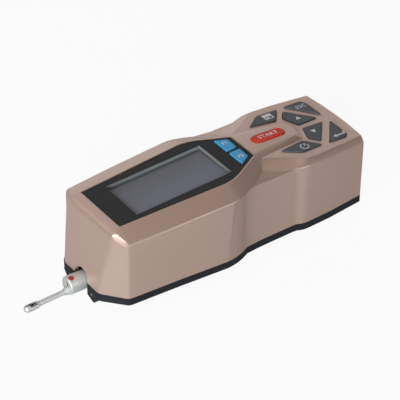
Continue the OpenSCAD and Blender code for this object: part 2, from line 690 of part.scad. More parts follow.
module base_frame() color([0.13, 0.13, 0.14]) in_place() difference() {
    union() {
        slab(both_sides(base_plan), plate_z, part_z);
        translate([front_x - base_lip, 0, 0]) rotate([90, 0, 90]) linear_extrude(body_len + base_lip - 1)
            polygon(groove_profile);
        difference() {
            slab(both_sides(rim_plan), part_z - 0.5, part_z + rim_h);
            slab(both_sides(rim_inner), part_z - cut, part_z + rim_h + cut);
        }
        for (p = main_posts) for (s = [1, -1])
            translate([p.x, s*p.y, part_z - 0.5]) cylinder(d = 5, h = main_board_z - part_z + 0.5);
    }
    translate([front_x - base_lip - cut, -slot_half, -cut])
        cube([slot_end - front_x + base_lip + cut, 2*slot_half, part_z + rim_h + 2*cut]);
    each_post() case_screw_hole();
    for (p = main_posts) for (s = [1, -1])
        translate([p.x, s*p.y, main_board_z - 8]) cylinder(d = board_screw_d + 0.1, h = 9);
    for (p = concat(drive_holes, [strap_holes])) for (s = [1, -1])
        translate([p.x, s*p.y, part_z - 3]) cylinder(d = drive_screw_d + 0.1, h = 6);
    front_spots() translate([0, 0, -cut]) cylinder(d = 1.3, h = 6 + cut);
}

case_screw_l = 11;
case_head_d = case_screw_d + 2.8;
module case_screws() color("silver") in_place() each_post()
    translate([0, 0, plate_z + head_sink - part_z]) mirror([0, 0, 1])
        plain_screw(case_screw_d, case_screw_l, case_head_d, head_sink - 0.2);

module front_screws() color("silver") in_place() front_spots() {
    translate([0, 0, -0.4]) cylinder(d = 1.8, h = 0.4);
    cylinder(d = 1.2, h = 5);
}

module drive_frame() color([0.72, 0.73, 0.75]) in_place() difference() {
    union() {
        for (s = [1, -1]) translate([front_upright_x, s > 0 ? bar_in : -bar_out, part_z])
            cube([motor_x - front_upright_x, bar_out - bar_in, bar_h]);
        for (x = [front_upright_x, rear_upright_x, motor_upright_x]) translate([x, -bar_out, part_z])
            cube([upright_t, 2*bar_out, frame_h]);
    }
    arch(front_upright_x - cut, upright_t + 2*cut);
    for (s = [1, -1]) along_x(front_upright_x - cut, s*rod_gap/2, rod_z)
        cylinder(d = rod_d + 2*seat, h = rear_upright_x - front_upright_x + upright_t + 2*cut);
    along_x(front_upright_x - cut, 0, screw_z)
        cylinder(d = bearing_d + 2*seat, h = motor_x - front_upright_x + 2*cut);
    for (p = drive_holes) for (s = [1, -1]) translate([p.x, s*p.y, part_z - cut]) {
        cylinder(d = drive_screw_d + 0.3, h = bar_h + 2*cut);
        translate([0, 0, bar_h - 1.8 + cut]) cylinder(d = 3.9, h = 2 + cut);
    }
}

module drive_screws() color("silver") in_place() {
    for (p = drive_holes) for (s = [1, -1])
        translate([p.x, s*p.y, part_z + bar_h - 1.8]) plain_screw(drive_screw_d, bar_h + 1, 3.7, 1.5);
    for (s = [1, -1]) translate([strap_holes.x, s*strap_holes.y, part_z + strap_t])
        plain_screw(drive_screw_d, 3.6, 3.7, 1.5);
}

module guide_rods() color([0.8, 0.8, 0.82]) in_place() {
    for (s = [1, -1]) along_x(front_upright_x, s*rod_gap/2, rod_z)
        cylinder(d = rod_d, h = rear_upright_x - front_upright_x + upright_t);
}

module screw_bearings() color([0.72, 0.55, 0.25]) in_place() {
    for (x = [front_upright_x, rear_upright_x]) along_x(x, 0, screw_z) difference() {
        cylinder(d = bearing_d, h = upright_t);
        translate([0, 0, -cut]) cylinder(d = screw_d + 2*running, h = upright_t + 2*cut);
    }
}

collar_gap = 0.3;
module lead_screw() color([0.7, 0.7, 0.72]) in_place() {
    along_x(front_upright_x, 0, screw_z)
        cylinder(d = screw_d, h = coupling_x + coupling_len/2 - front_upright_x);
    along_x(front_upright_x + upright_t + collar_gap, 0, screw_z) cylinder(d = screw_d + 1.8, h = 1.2);
    along_x(rear_upright_x - collar_gap - 1.2, 0, screw_z) cylinder(d = screw_d + 1.8, h = 1.2);
}

shaft_d = 2;
module shaft_coupling() color([0.6, 0.62, 0.65]) in_place() along_x(coupling_x, 0, screw_z) difference() {
    cylinder(d = bearing_d, h = coupling_len);
    translate([0, 0, -cut]) cylinder(d = screw_d + 2*seat, h = coupling_len/2 + cut);
    translate([0, 0, coupling_len/2 - 0.1]) cylinder(d = shaft_d + 2*seat, h = coupling_len);
}

shaft_x = coupling_x + coupling_len/2 + 0.2;
module motor_shaft() color("silver") in_place()
    along_x(shaft_x, 0, screw_z) cylinder(d = shaft_d, h = motor_x + 6 - shaft_x);

module drive_motor() color([0.62, 0.63, 0.65]) in_place() along_x(motor_x, 0, screw_z) difference() {
    union() {
        cylinder(d = motor_d, h = motor_len*0.4);
        translate([0, 0, motor_len*0.4]) cylinder(d = motor_d - 1, h = motor_len*0.6);
        translate([0, 0, motor_len]) cylinder(d = motor_d/2, h = 1.6);
    }
    translate([0, 0, -cut]) cylinder(d = shaft_d + 2*running, h = 8 + cut);
}

carriage_half = rod_gap/2 + bush_d/2 + 1;
carriage_low = part_z + bar_h + 0.4;
socket_d = pickup_d - 0.8;
saddle_half = slot_half - 1.1;
module carriage() color([0.55, 0.57, 0.6]) in_place() difference() {
    union() {
        translate([carriage_x, -carriage_half, carriage_low])
            cube([carriage_len, 2*carriage_half, rod_z + bush_d/2 + 4 - carriage_low]);
        translate([carriage_x, -saddle_half, pickup_z])
            cube([carriage_len - 4, 2*saddle_half, carriage_low - pickup_z + 1]);
    }
    along_x(carriage_x - cut, 0, pickup_z) cylinder(d = socket_d + 2*seat, h = carriage_len + 2*cut);
    for (s = [1, -1]) along_x(carriage_x - cut, s*rod_gap/2, rod_z)
        cylinder(d = bush_d + 2*seat, h = carriage_len + 2*cut);
    along_x(carriage_x - cut, 0, screw_z) cylinder(d = bearing_d + 1 + 2*seat, h = carriage_len + 2*cut);
}

module carriage_bushes() color([0.72, 0.5, 0.25]) in_place() {
    for (s = [1, -1]) for (x = [carriage_x, carriage_x + carriage_len - bush_len])
        along_x(x, s*rod_gap/2, rod_z) difference() {
            cylinder(d = bush_d, h = bush_len);
            translate([0, 0, -cut]) cylinder(d = rod_d + 2*running, h = bush_len + 2*cut);
        }
}

module drive_nut() color([0.78, 0.62, 0.3]) in_place() along_x(carriage_x, 0, screw_z) difference() {
    cylinder(d = bearing_d + 1, h = carriage_len);
    translate([0, 0, -cut]) cylinder(d = screw_d + 2*running, h = carriage_len + 2*cut);
}

pin_circle = 2.3;
pin_d = 0.8;
pin_len = 5;
module pin_spots() {
    for (a = [45:90:315]) translate([0, pin_circle*cos(a), pickup_z + pin_circle*sin(a)]) children();
}
module pickup_socket() color([0.25, 0.25, 0.27]) in_place() difference() {
    along_x(socket_front, 0, pickup_z) cylinder(d = socket_d, h = socket_len);
    pin_spots() along_x(socket_front - cut, 0, 0)
        cylinder(d = pin_d + 0.1, h = pin_len + 0.6 + cut, $fn = 24);
}

module plug_pins() color([0.8, 0.68, 0.35]) in_place()
    pin_spots() along_x(face_x + pickup_len - 1.5, 0, 0) cylinder(d = pin_d, h = pin_len + 1.5, $fn = 24);

// Pickup: body, mark, tube, nose and the stylus lever inside
tube_socket = 3;
lever_bore = tube_d - 0.8;
pivot_x = 6;
pivot_d = 0.8;
hub_d = 1.7;
hub_w = 1.2;
hub_bore = tube_d - 0.2;
mark_x = face_x + 2.05;
mark_d = 3;
mark_roll = 12;
mark_depth = 0.5;
module mark_spot() {
    translate([mark_x, 0, pickup_z]) rotate([mark_roll, 0, 0])
        translate([0, 0, pickup_d/2 - mark_depth]) children();
}
tube_collar = 2;
module pickup_body() color([0.78, 0.78, 0.77]) in_place() difference() {
    union() {
        along_x(face_x + 0.5, 0, pickup_z) cylinder(d = pickup_d, h = pickup_len - 0.5);
        along_x(face_x, 0, pickup_z) cylinder(d1 = pickup_d - 1, d2 = pickup_d, h = 0.5);
        on_tube() along_x(-tube_collar, 0, 0)
            cylinder(d1 = tube_d + 0.6, d2 = tube_d + 2, h = tube_collar + 1);
    }
    on_tube() {
        along_x(-tube_collar - cut, 0, 0)
            cylinder(d = tube_d + 2*seat, h = tube_collar + tube_socket + cut);
        along_x(0, 0, 0) cylinder(d = hub_bore, h = pivot_x + 2.4);
        translate([pivot_x, 4, 0]) rotate([90, 0, 0]) cylinder(d = pivot_d + 2*seat, h = 8);
    }
    mark_spot() cylinder(d = mark_d + 2*seat, h = 2);
    translate([face_x - cut, -0.4, pickup_z - 0.2]) rotate([20, 0, 0]) cube([cut + 0.8, 0.8, 2.6]);
    pin_spots() along_x(face_x + pickup_len - 1.5, 0, 0) cylinder(d = pin_d + 2*seat, h = 3, $fn = 24);
}

module pickup_mark() color([0.66, 0.16, 0.2]) in_place() intersection() {
    mark_spot() cylinder(d = mark_d, h = 2);
    along_x(face_x, 0, pickup_z) cylinder(d = pickup_d, h = pickup_len);
}

nose_seat = 0.6;
module pickup_tube() color([0.8, 0.8, 0.79]) in_place() on_tube()
    along_x(-tube_len - nose_seat, 0, 0) difference() {
        cylinder(d = tube_d, h = tube_len + nose_seat + tube_socket);
        translate([0, 0, -cut]) cylinder(d = lever_bore, h = tube_len + nose_seat + tube_socket + 2*cut);
    }

nose_end = tube_len + nose_len;
nose_bore = lever_d + 1.3;
nose_slot = lever_d + 0.3;
nose_window = 4.4;
nose_window_w = nose_d - 0.8;
window_end = tube_len + nose_seat + nose_window;
tip_pos = nose_end - nose_d/2 - 0.3;
module pickup_nose() color([0.74, 0.74, 0.73]) in_place() on_tube() difference() {
    union() {
        along_x(-nose_end + nose_d/2, 0, 0) cylinder(d = nose_d, h = nose_len - nose_d/2 - 0.5);
        along_x(-tube_len - 0.5, 0, 0) cylinder(d1 = nose_d, d2 = nose_d - 0.6, h = 0.5);
        translate([-nose_end + nose_d/2, 0, 0]) sphere(d = nose_d);
    }
    along_x(-tube_len - nose_seat, 0, 0) cylinder(d = tube_d + 2*seat, h = nose_seat + cut);
    along_x(-nose_end + nose_d/2 - 0.6, 0, 0) cylinder(d = nose_bore, h = nose_len);
    translate([-nose_end + 1, -nose_slot/2, 0]) cube([nose_end - window_end, nose_slot, nose_d]);
    translate([-window_end, -nose_window_w/2, 0]) cube([nose_window - 0.2, nose_window_w, nose_d]);
    translate([-tip_pos, 0, -nose_d]) cylinder(d = 1.2, h = nose_d);
}

lever_end = tip_pos + 0.4;
module stylus_lever() color([0.6, 0.6, 0.6]) in_place() on_tube() difference() {
    union() {
        along_x(-lever_end, 0, 0) cylinder(d = lever_d, h = lever_end + pivot_x - 0.6, $fn = 24);
        translate([pivot_x, hub_w/2, 0]) rotate([90, 0, 0]) cylinder(d = hub_d, h = hub_w);
    }
    translate([pivot_x, 2, 0]) rotate([90, 0, 0]) cylinder(d = pivot_d + 2*running, h = 4);
    translate([-tip_pos, 0, -1]) cylinder(d = 0.34 + 2*seat, h = 2, $fn = 24);
}

module pivot_pin() color("silver") in_place() on_tube()
    translate([pivot_x, 2.8, 0]) rotate([90, 0, 0]) cylinder(d = pivot_d, h = 5.6);

tip_out = 0.12;
module stylus_tip() color([0.35, 0.33, 0.3]) in_place() on_tube() translate([-tip_pos, 0, 0]) {
    translate([0, 0, -nose_d/2 + 0.5]) cylinder(d = 0.34, h = nose_d/2 - 0.3, $fn = 24);
    translate([0, 0, -nose_d/2 - tip_out]) cylinder(d1 = 0.06, d2 = 0.34, h = 0.5 + tip_out, $fn = 24);
}

// Power: battery, its strap, the main board and the charging socket
module battery_pack() color([0.15, 0.32, 0.6]) in_place()
    translate([battery_x, 0, part_z]) slab(rounded([[0, battery_w/2], [battery_l, battery_w/2],
        [battery_l, -battery_w/2], [0, -battery_w/2]], 3), 0, battery_h);

strap_x = battery_x + battery_l/2 - strap_w/2;
module battery_strap() color([0.7, 0.71, 0.73]) in_place() translate([strap_x, 0, part_z])
    difference() {
        rotate([90, 0, 90]) linear_extrude(strap_w) difference() {
            union() {
                translate([-battery_w/2 - strap_t, 0]) square([battery_w + 2*strap_t, battery_h + strap_t]);
                translate([-strap_half - strap_foot/2, 0]) square([2*strap_half + strap_foot, strap_t]);
            }
            translate([-battery_w/2, -cut]) square([battery_w, battery_h + cut]);
        }
        for (s = [1, -1]) translate([strap_w/2, s*strap_half, -cut])
            cylinder(d = drive_screw_d + 0.3, h = 3);
    }

main_half = half_waist - 4.6;
main_plan = [[main_board_x - 3, main_half], [valley_x + 14, main_half], [rear_x - 3, half_rear - 5.4]];
module main_board() color([0.08, 0.32, 0.18]) in_place() difference() {
    slab(rounded(both_sides(main_plan), 2), main_board_z, main_board_z + board_t);
    for (p = main_posts) for (s = [1, -1])
        translate([p.x, s*p.y, main_board_z - cut]) cylinder(d = board_screw_d + 0.3, h = board_t + 2*cut);
    each_post() cylinder(r = post_r + 0.5, h = main_board_z);
}

module charge_socket() color([0.75, 0.75, 0.77]) in_place()
    translate([socket_x, -socket_w/2, socket_z]) difference() {
        cube([rear_x + 0.6 - socket_x, socket_w, socket_h]);
        translate([1.5, 0.6, 0.6]) cube([10, socket_w - 1.2, socket_h - 1.2]);
    }

upper_housing();
base_frame();
display_bezel();
lcd_glass();
lcd_module();
display_board();
keypad_board();
key_switches();
board_screws();
key_left();
key_right();
key_start();
key_save();
key_power();
key_escape();
key_enter();
key_up();
key_down();
case_screws();
front_screws();
drive_frame();
drive_screws();
guide_rods();
screw_bearings();
lead_screw();
shaft_coupling();
motor_shaft();
drive_motor();
carriage();
carriage_bushes();
drive_nut();
pickup_socket();
plug_pins();
pickup_body();
pickup_mark();
pickup_tube();
pickup_nose();
stylus_lever();
pivot_pin();
stylus_tip();
battery_pack();
battery_strap();
main_board();
charge_socket();
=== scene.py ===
# %% [markdown]
# # Dressing a hand-held surface roughness tester
# The tester arrives as a finished mechanism: a moulded housing on a grooved base, keys that press, a
# carriage on guide rods and a pickup that unplugs. Every solid already has its true size and place.
# This lesson gives each one its finish, rounds the edges that show and adds the printed legends, the
# screw recesses and the thread. Nothing that came from the frame is moved: where edges are rounded, a copy
# is shown in the solid's place.

# %% Load the frame
import json
import math

import bmesh
import bpy
from mathutils import Matrix, Vector


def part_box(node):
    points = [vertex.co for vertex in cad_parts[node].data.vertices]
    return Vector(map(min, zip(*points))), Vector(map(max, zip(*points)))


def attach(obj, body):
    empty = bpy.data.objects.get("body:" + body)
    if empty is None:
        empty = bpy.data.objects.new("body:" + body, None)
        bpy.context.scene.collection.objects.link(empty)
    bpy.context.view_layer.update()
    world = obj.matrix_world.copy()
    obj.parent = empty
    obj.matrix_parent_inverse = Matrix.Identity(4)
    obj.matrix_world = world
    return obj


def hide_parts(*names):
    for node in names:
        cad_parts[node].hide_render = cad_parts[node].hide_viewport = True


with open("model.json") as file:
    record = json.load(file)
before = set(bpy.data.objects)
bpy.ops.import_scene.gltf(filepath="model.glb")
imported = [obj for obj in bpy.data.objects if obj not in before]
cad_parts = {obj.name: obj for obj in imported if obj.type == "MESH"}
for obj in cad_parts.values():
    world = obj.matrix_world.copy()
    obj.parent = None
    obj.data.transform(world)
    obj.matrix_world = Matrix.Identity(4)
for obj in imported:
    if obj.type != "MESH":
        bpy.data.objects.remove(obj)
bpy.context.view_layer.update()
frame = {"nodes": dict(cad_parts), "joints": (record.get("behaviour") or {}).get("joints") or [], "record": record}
MM = 0.001
scene = bpy.context.scene
record = frame["record"]
BODY_OF = {node: body for body, nodes in record["behaviour"]["bodies"].items() for node in nodes}
SLOT_OF = {part["node"]: part["material_slot"] for part in record["subparts"]}
PRESS_OF = {joint["child"]: Vector(joint["axis"]) for joint in frame["joints"]}

# %% [markdown]
# ## The camera
# The photograph was taken from the front left, well above the instrument, through a long lens: the far
# edges are hardly smaller than the near ones. A lens of 176 mm at a distance of one metre gives the same
# perspective. The picture is shifted by a few per cent, because the instrument isn't quite centred. The
# camera, the lamps and the cards are all placed from one aim point and turned to face it.

# %% Camera
VIEW_AZIMUTH = math.radians(-35.2)
VIEW_ELEVATION = math.radians(35.66)
VIEW_DISTANCE = 1.0
LENS = 176.1
FRAME_SHIFT = (-0.0267, -0.0143)
HOUSING_LENGTH = 158*MM
AIM_HEIGHT = 26.2*MM

housing_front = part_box("upper_housing")[0].x
aim = Vector((housing_front + HOUSING_LENGTH/2, 0, AIM_HEIGHT))
toward_camera = Vector((
    math.sin(VIEW_AZIMUTH)*math.cos(VIEW_ELEVATION),
    -math.cos(VIEW_AZIMUTH)*math.cos(VIEW_ELEVATION),
    math.sin(VIEW_ELEVATION),
))


def new_object(name, data):
    made = bpy.data.objects.new(name, data)
    scene.collection.objects.link(made)
    return made


def face_the_aim(thing, place):
    """Stands a thing at a place measured from the aim, turned to face it."""
    thing.location = aim + Vector(place)
    thing.rotation_euler = Vector(place).to_track_quat("Z", "Y").to_euler()


lens = bpy.data.cameras.new("camera")
lens.lens = LENS
lens.shift_x, lens.shift_y = FRAME_SHIFT
camera = new_object("camera", lens)
face_the_aim(camera, toward_camera*VIEW_DISTANCE)
scene.camera = camera
print("camera at", [round(v, 3) for v in camera.location])

# %% [markdown]
# ## Nodes as arithmetic
# A finish is a small calculation: a colour and a roughness that vary over the surface. Wiring it by hand
# takes dozens of lines, so three small classes do the wiring. A Flow is one output of a node, and adding
# or multiplying Flows adds the Math nodes. A Tree adds any other node from its type, its settings and its
# sockets. A Finish is the Tree of a material. Geometry Nodes trees have the same shape, so Flow and Tree
# serve there too.

# %% Flow, Tree and Finish
class Flow:
    """One output of a node. Arithmetic on it adds Math nodes to its tree."""

    def __init__(self, tree, socket):
        self.tree = tree
        self.socket = socket

    def math(self, operation, first, second):
        return self.tree.node("ShaderNodeMath", {"operation": operation}, {0: first, 1: second})

    def __add__(self, other):
        return self.math("ADD", self, other)

    def __radd__(self, other):
        return self.math("ADD", other, self)

    def __sub__(self, other):
        return self.math("SUBTRACT", self, other)

    def __rsub__(self, other):
        return self.math("SUBTRACT", other, self)

    def __mul__(self, other):
        return self.math("MULTIPLY", self, other)

    def __truediv__(self, other):
        return self.math("DIVIDE", self, other)

    def larger(self, other):
        return self.math("MAXIMUM", self, other)


class Tree:
    """A node tree with one way to add a node."""

    def __init__(self, tree):
        self.tree = tree

    def link(self, flow, socket):
        self.tree.links.new(flow.socket, socket)

    def node(self, kind, settings=None, sockets=None, output=0):
        made = self.tree.nodes.new(kind)
        for name, value in (settings or {}).items():
            setattr(made, name, value)
        for key, value in (sockets or {}).items():
            if isinstance(value, Flow):
                self.link(value, made.inputs[key])
            else:
                made.inputs[key].default_value = value
        return Flow(self, made.outputs[output])


class Finish(Tree):
    """A material. What is the same all over it is set on the shader's own sockets."""

    def __init__(self, name, constants):
        self.material = bpy.data.materials.new(name)
        self.material.use_nodes = True
        super().__init__(self.material.node_tree)
        self.shader = self.tree.nodes["Principled BSDF"]
        for socket, value in constants.items():
            self.shader.inputs[socket].default_value = value

    def feed(self, socket, flow):
        self.link(flow, self.shader.inputs[socket])

    def place(self, stretch=(1, 1, 1)):
        spot = self.node("ShaderNodeTexCoord", output="Object")
        return self.node("ShaderNodeVectorMath", {"operation": "MULTIPLY"}, {0: spot, 1: stretch})

    def noise(self, size, stretch=(1, 1, 1), detail=2):
        sockets = {"Vector": self.place(stretch), "Scale": 1/size, "Detail": detail}
        return self.node("ShaderNodeTexNoise", sockets=sockets)

    def mix(self, share, first, second):
        """The Mix node takes its colours in sockets 6 and 7 and gives their mix in output 2."""
        sockets = {0: share, 6: self.paint(first), 7: self.paint(second)}
        return self.node("ShaderNodeMix", {"data_type": "RGBA"}, sockets, output=2)

    def paint(self, colour):
        return colour if isinstance(colour, Flow) else (*colour, 1)

    def tint(self, share, first, second):
        self.feed("Base Color", self.mix(share, first, second))

    def roughen(self, pattern, least, span):
        self.feed("Roughness", least + pattern*span)

    def relief(self, height, depth):
        sockets = {"Height": height, "Distance": depth, "Strength": 1}
        self.feed("Normal", self.node("ShaderNodeBump", sockets=sockets))


print("Flow, Tree and Finish are ready")

# %% [markdown]
# ## World and floor
# A product photograph like this one is made on white paper. The world is white to the camera, to metal and
# to glass, and casts hardly any light, so a white background puts no more light on the instrument. The
# floor is white to the camera, and gloss shows it much as it is lit, with the shadow that it keeps.

# %% World and floor
WHITE = (1, 1, 1, 1)
TENT_WHITE = 1.0
TENT_LEVEL = 0.01
FLOOR_GLOW = 0.93
FLOOR_SHEEN = 0.05
FLOOR_SIZE = 6.0
FLOOR_GAP = 0.05*MM
PAPER_GRAIN = 20*MM


def grey(level):
    return (level, level, level)


def level_by_ray(tree, shown, mirrored, cast):
    """One level for the camera and glass, one for gloss, and one for the light cast on the instrument."""
    path = tree.tree.nodes.new("ShaderNodeLightPath")
    direct = Flow(tree, path.outputs["Is Camera Ray"])
    glossy = Flow(tree, path.outputs["Is Glossy Ray"])
    through = Flow(tree, path.outputs["Is Transmission Ray"])
    return cast + direct.larger(through)*(shown - cast) + glossy*(mirrored - cast)


def square_sheet(name, size, finish):
    bpy.ops.mesh.primitive_plane_add(size=size)
    sheet = bpy.context.object
    sheet.name = name
    sheet.data.materials.append(finish.material)
    return sheet


world = bpy.data.worlds.new("tent")
scene.world = world
world.use_nodes = True
tent = Tree(world.node_tree)
background = tent.tree.nodes["Background"]
background.inputs["Color"].default_value = WHITE
tent.link(level_by_ray(tent, TENT_WHITE, TENT_WHITE, TENT_LEVEL), background.inputs["Strength"])

paper = Finish("paper", {"Roughness": 0.9, "Specular IOR Level": 0.0})
paper.tint(paper.noise(PAPER_GRAIN), grey(0.86), grey(0.9))
glow = paper.node("ShaderNodeEmission", sockets={"Color": WHITE, "Strength": 1.0})
share = level_by_ray(paper, FLOOR_GLOW, FLOOR_SHEEN, 0.0)
lit_paper = Flow(paper, paper.shader.outputs[0])
shown_paper = paper.node("ShaderNodeMixShader", sockets={0: share, 1: lit_paper, 2: glow})
paper.link(shown_paper, paper.tree.nodes["Material Output"].inputs["Surface"])
floor = square_sheet("floor", FLOOR_SIZE, paper)
floor.location.z = -FLOOR_GAP
scene.view_settings.view_transform = "Standard"
print("a tent and a floor", FLOOR_SIZE, "m wide")

# %% [markdown]
# ## Lamps and cards
# Most of the light comes from one soft box, low at the front left. Two weak warm lamps fill in from
# overhead and from the far corner. The deck mirrors a bright card behind the instrument, and dark cards
# overhead, at the left and at the near side keep glare off the rest, so that the roof bands go a shade
# darker than the walls. Two small lamps that only gloss sees draw the lines of light on the brow and along
# the near edge.

# %% Lamps and cards
COOL = (0.84, 0.95, 1.0)
WARM = (1.0, 0.75, 0.65)
FELT_GRAIN = 10*MM
FELT_CLOUD = 50*MM


def soft_box(name, place, size, power, tint=(1, 1, 1), only_gloss=False):
    """A square lamp. One that only gloss sees draws a line of light on an edge."""
    lamp = bpy.data.lights.new(name, "AREA")
    lamp.size = size
    lamp.energy = power
    lamp.color = tint
    box = new_object(name, lamp)
    face_the_aim(box, place)
    box.visible_diffuse = not only_gloss


def plain_card(name, place, size, level=0.0):
    """A card of an even grey level that the camera doesn't see."""
    felt = Finish(name + "_felt", {"Roughness": 1.0, "Specular IOR Level": 0.0, "Emission Strength": level})
    felt.tint(felt.noise(FELT_GRAIN), grey(0.015), grey(0.03))
    felt.feed("Emission Color", felt.mix(felt.noise(FELT_CLOUD), grey(0.95), grey(1)))
    card = square_sheet(name, size, felt)
    face_the_aim(card, place)
    card.visible_camera = False


soft_box("key_box", (-0.95, -0.75, 0.3), size=0.8, power=21.0, tint=COOL)
soft_box("top_box", (0, 0, 1.2), size=0.6, power=1.9, tint=WARM)
soft_box("far_box", (-0.7, 0.7, 0.6), size=0.5, power=1.1, tint=WARM)
soft_box("brow_box", (-0.87, -0.07, 0.62), size=0.26, power=4.4, only_gloss=True)
soft_box("edge_box", (0.3, -0.88, 0.4), size=0.2, power=1.9, only_gloss=True)
plain_card("back_card", (1.0, 1.4, 0.75), size=2.4, level=1.13)
plain_card("roof_card", (0.78, -0.15, 1.4), size=2.6)
plain_card("left_card", (-1.8, 0.6, 0.9), size=3.6)
plain_card("near_card", (1.1, -1.75, 0.9), size=3.4)
print("five soft boxes and four cards")

# %% [markdown]
# ## Champagne lacquer
# The housing is moulded and sprayed with a warm metallic lacquer. Close up it has three things: fine
# flakes that make the colour sparkle a little, a slow drift of tone where the spray lay thicker, and a
# slight orange peel in the surface. The flakes mix two near colours, the drift mixes a third, and the
# peel is a shallow relief. A little under half metal, and the rest pigment, gives the soft sheen of the
# real paint.

# %% Champagne lacquer
FLAKE_SIZE = 0.22*MM
FLAKE_DARK = (0.445, 0.3, 0.24)
FLAKE_PALE = (0.55, 0.384, 0.314)
DRIFT_SIZE = 26*MM
DRIFT_SHARE = 0.3
DRIFT_TONE = (0.475, 0.332, 0.279)
PEEL_SIZE = 1.1*MM
PEEL_DEPTH = 0.012*MM

lacquer = Finish("champagne_lacquer", {"Metallic": 0.4, "Coat Weight": 0.4, "Coat Roughness": 0.14})
flakes = lacquer.noise(FLAKE_SIZE, detail=1)
drift = lacquer.noise(DRIFT_SIZE)
lacquer.tint(drift*DRIFT_SHARE, lacquer.mix(flakes, FLAKE_DARK, FLAKE_PALE), DRIFT_TONE)
lacquer.roughen(flakes, least=0.36, span=0.14)
lacquer.relief(lacquer.noise(PEEL_SIZE, detail=1), PEEL_DEPTH)
print("champagne lacquer ready")

# %% [markdown]
# ## Black mouldings
# The base is black plastic from a spark-eroded mould, so it has a fine even grain and a dull sheen. The
# bezel comes from a polished mould and is smoother. One function makes both, and three lesser mouldings
# too: the colours, the grain's size and depth and the roughness set them apart.

# %% Black mouldings
PIT_SHARE = 0.6
RUBBED_SIZE = 18*MM
RUBBED_SPAN = 0.12


def moulding(name, dark, pale, grain, depth, roughness, sheen=0.3):
    plastic = Finish(name, {"Specular IOR Level": sheen})
    pits = plastic.noise(grain, detail=3)
    rubbed = plastic.noise(RUBBED_SIZE)
    plastic.tint(pits*PIT_SHARE + rubbed*(1 - PIT_SHARE), dark, pale)
    plastic.roughen(rubbed, roughness, RUBBED_SPAN)
    plastic.relief(pits, depth)
    return plastic.material


base_black = moulding("base_grain", (0.009, 0.0095, 0.012), (0.021, 0.022, 0.026),
                      grain=0.35*MM, depth=0.05*MM, roughness=0.55, sheen=0.2)
bezel_black = moulding("bezel_black", (0.013, 0.013, 0.014), (0.021, 0.021, 0.022),
                       grain=0.2*MM, depth=0.006*MM, roughness=0.4, sheen=0.15)
window_grey = moulding("window_wall", (0.2, 0.195, 0.19), (0.27, 0.265, 0.26),
                       grain=0.4*MM, depth=0.01*MM, roughness=0.4)
board_moulding = moulding("board_moulding", (0.05, 0.05, 0.055), (0.09, 0.09, 0.095),
                          grain=0.4*MM, depth=0.02*MM, roughness=0.5)
lamp_red = moulding("lamp_red", (0.05, 0.006, 0.005), (0.09, 0.012, 0.01),
                    grain=0.3*MM, depth=0.004*MM, roughness=0.2)
print("five mouldings ready")

# %% [markdown]
# ## Key rubber and printing ink
# The keys are moulded in silicone rubber: a satin surface with hardly any grain and a slightly paler
# bloom. The legends are white ink printed on top, a little uneven at close range.

# %% Key rubber and ink
BLOOM_SIZE = 3*MM
BLOOM_SPAN = 0.12
SATIN_SIZE = 0.25*MM
SATIN_DEPTH = 0.01*MM


def key_rubber(name, dark, pale, roughness=0.42, sheen=0.3):
    rubber = Finish(name, {"Specular IOR Level": sheen})
    bloom = rubber.noise(BLOOM_SIZE, detail=3)
    rubber.tint(bloom, dark, pale)
    rubber.roughen(bloom, roughness, BLOOM_SPAN)
    rubber.relief(rubber.noise(SATIN_SIZE), SATIN_DEPTH)
    return rubber.material


key_dark = key_rubber("key_dark", (0.06, 0.064, 0.078), (0.085, 0.09, 0.105))
key_blue = key_rubber("key_blue", (0.045, 0.35, 0.66), (0.075, 0.42, 0.74))
key_red = key_rubber("key_red", (0.66, 0.028, 0.006), (0.8, 0.045, 0.01), roughness=0.4, sheen=0.2)
ink = key_rubber("white_ink", (0.72, 0.73, 0.74), (0.86, 0.86, 0.86), roughness=0.5)
print("three rubbers and an ink ready")

# %% [markdown]
# ## Turned and drawn metal
# A lathe leaves fine rings round the pickup, and drawing leaves fine lines along a rod. Both are noise that
# is stretched: much detail in one direction and little in the others. The same streaks tint the colour,
# vary the roughness and give a very shallow relief.

# %% Turned and drawn metal
STREAK_SIZE = 1*MM
STREAK_SPAN = 0.14
ROUND_X = (9, 0.4, 0.4)
ALONG_X = (0.3, 6, 6)
EVEN = (3, 3, 3)


def streaked_metal(name, dark, pale, stretch, roughness, depth=0.003*MM, metallic=1.0):
    metal = Finish(name, {"Metallic": metallic})
    streaks = metal.noise(STREAK_SIZE, stretch, detail=1)
    metal.tint(streaks, dark, pale)
    metal.roughen(streaks, roughness, STREAK_SPAN)
    metal.relief(streaks, depth)
    return metal.material


pickup_silver = streaked_metal("pickup_silver", (0.5, 0.49, 0.475), (0.62, 0.61, 0.59), ROUND_X, 0.44,
                               depth=0.0008*MM, metallic=0.45)
steel = streaked_metal("bright_steel", (0.5, 0.5, 0.51), (0.66, 0.66, 0.67), EVEN, 0.2)
rod_steel = streaked_metal("ground_rod", (0.55, 0.55, 0.56), (0.7, 0.7, 0.71), ALONG_X, 0.16)
alloy = streaked_metal("milled_alloy", (0.48, 0.49, 0.51), (0.6, 0.61, 0.63), ALONG_X, 0.32)
bronze = streaked_metal("bearing_bronze", (0.5, 0.3, 0.11), (0.66, 0.44, 0.18), ROUND_X, 0.28)
motor_can = streaked_metal("motor_can", (0.38, 0.38, 0.4), (0.5, 0.5, 0.52), ALONG_X, 0.3)
tip_grey = streaked_metal("tip_grey", (0.14, 0.13, 0.12), (0.24, 0.23, 0.21), EVEN, 0.2)
gilt = streaked_metal("gilt", (0.6, 0.42, 0.14), (0.74, 0.54, 0.2), EVEN, 0.18)
print("eight metals ready")
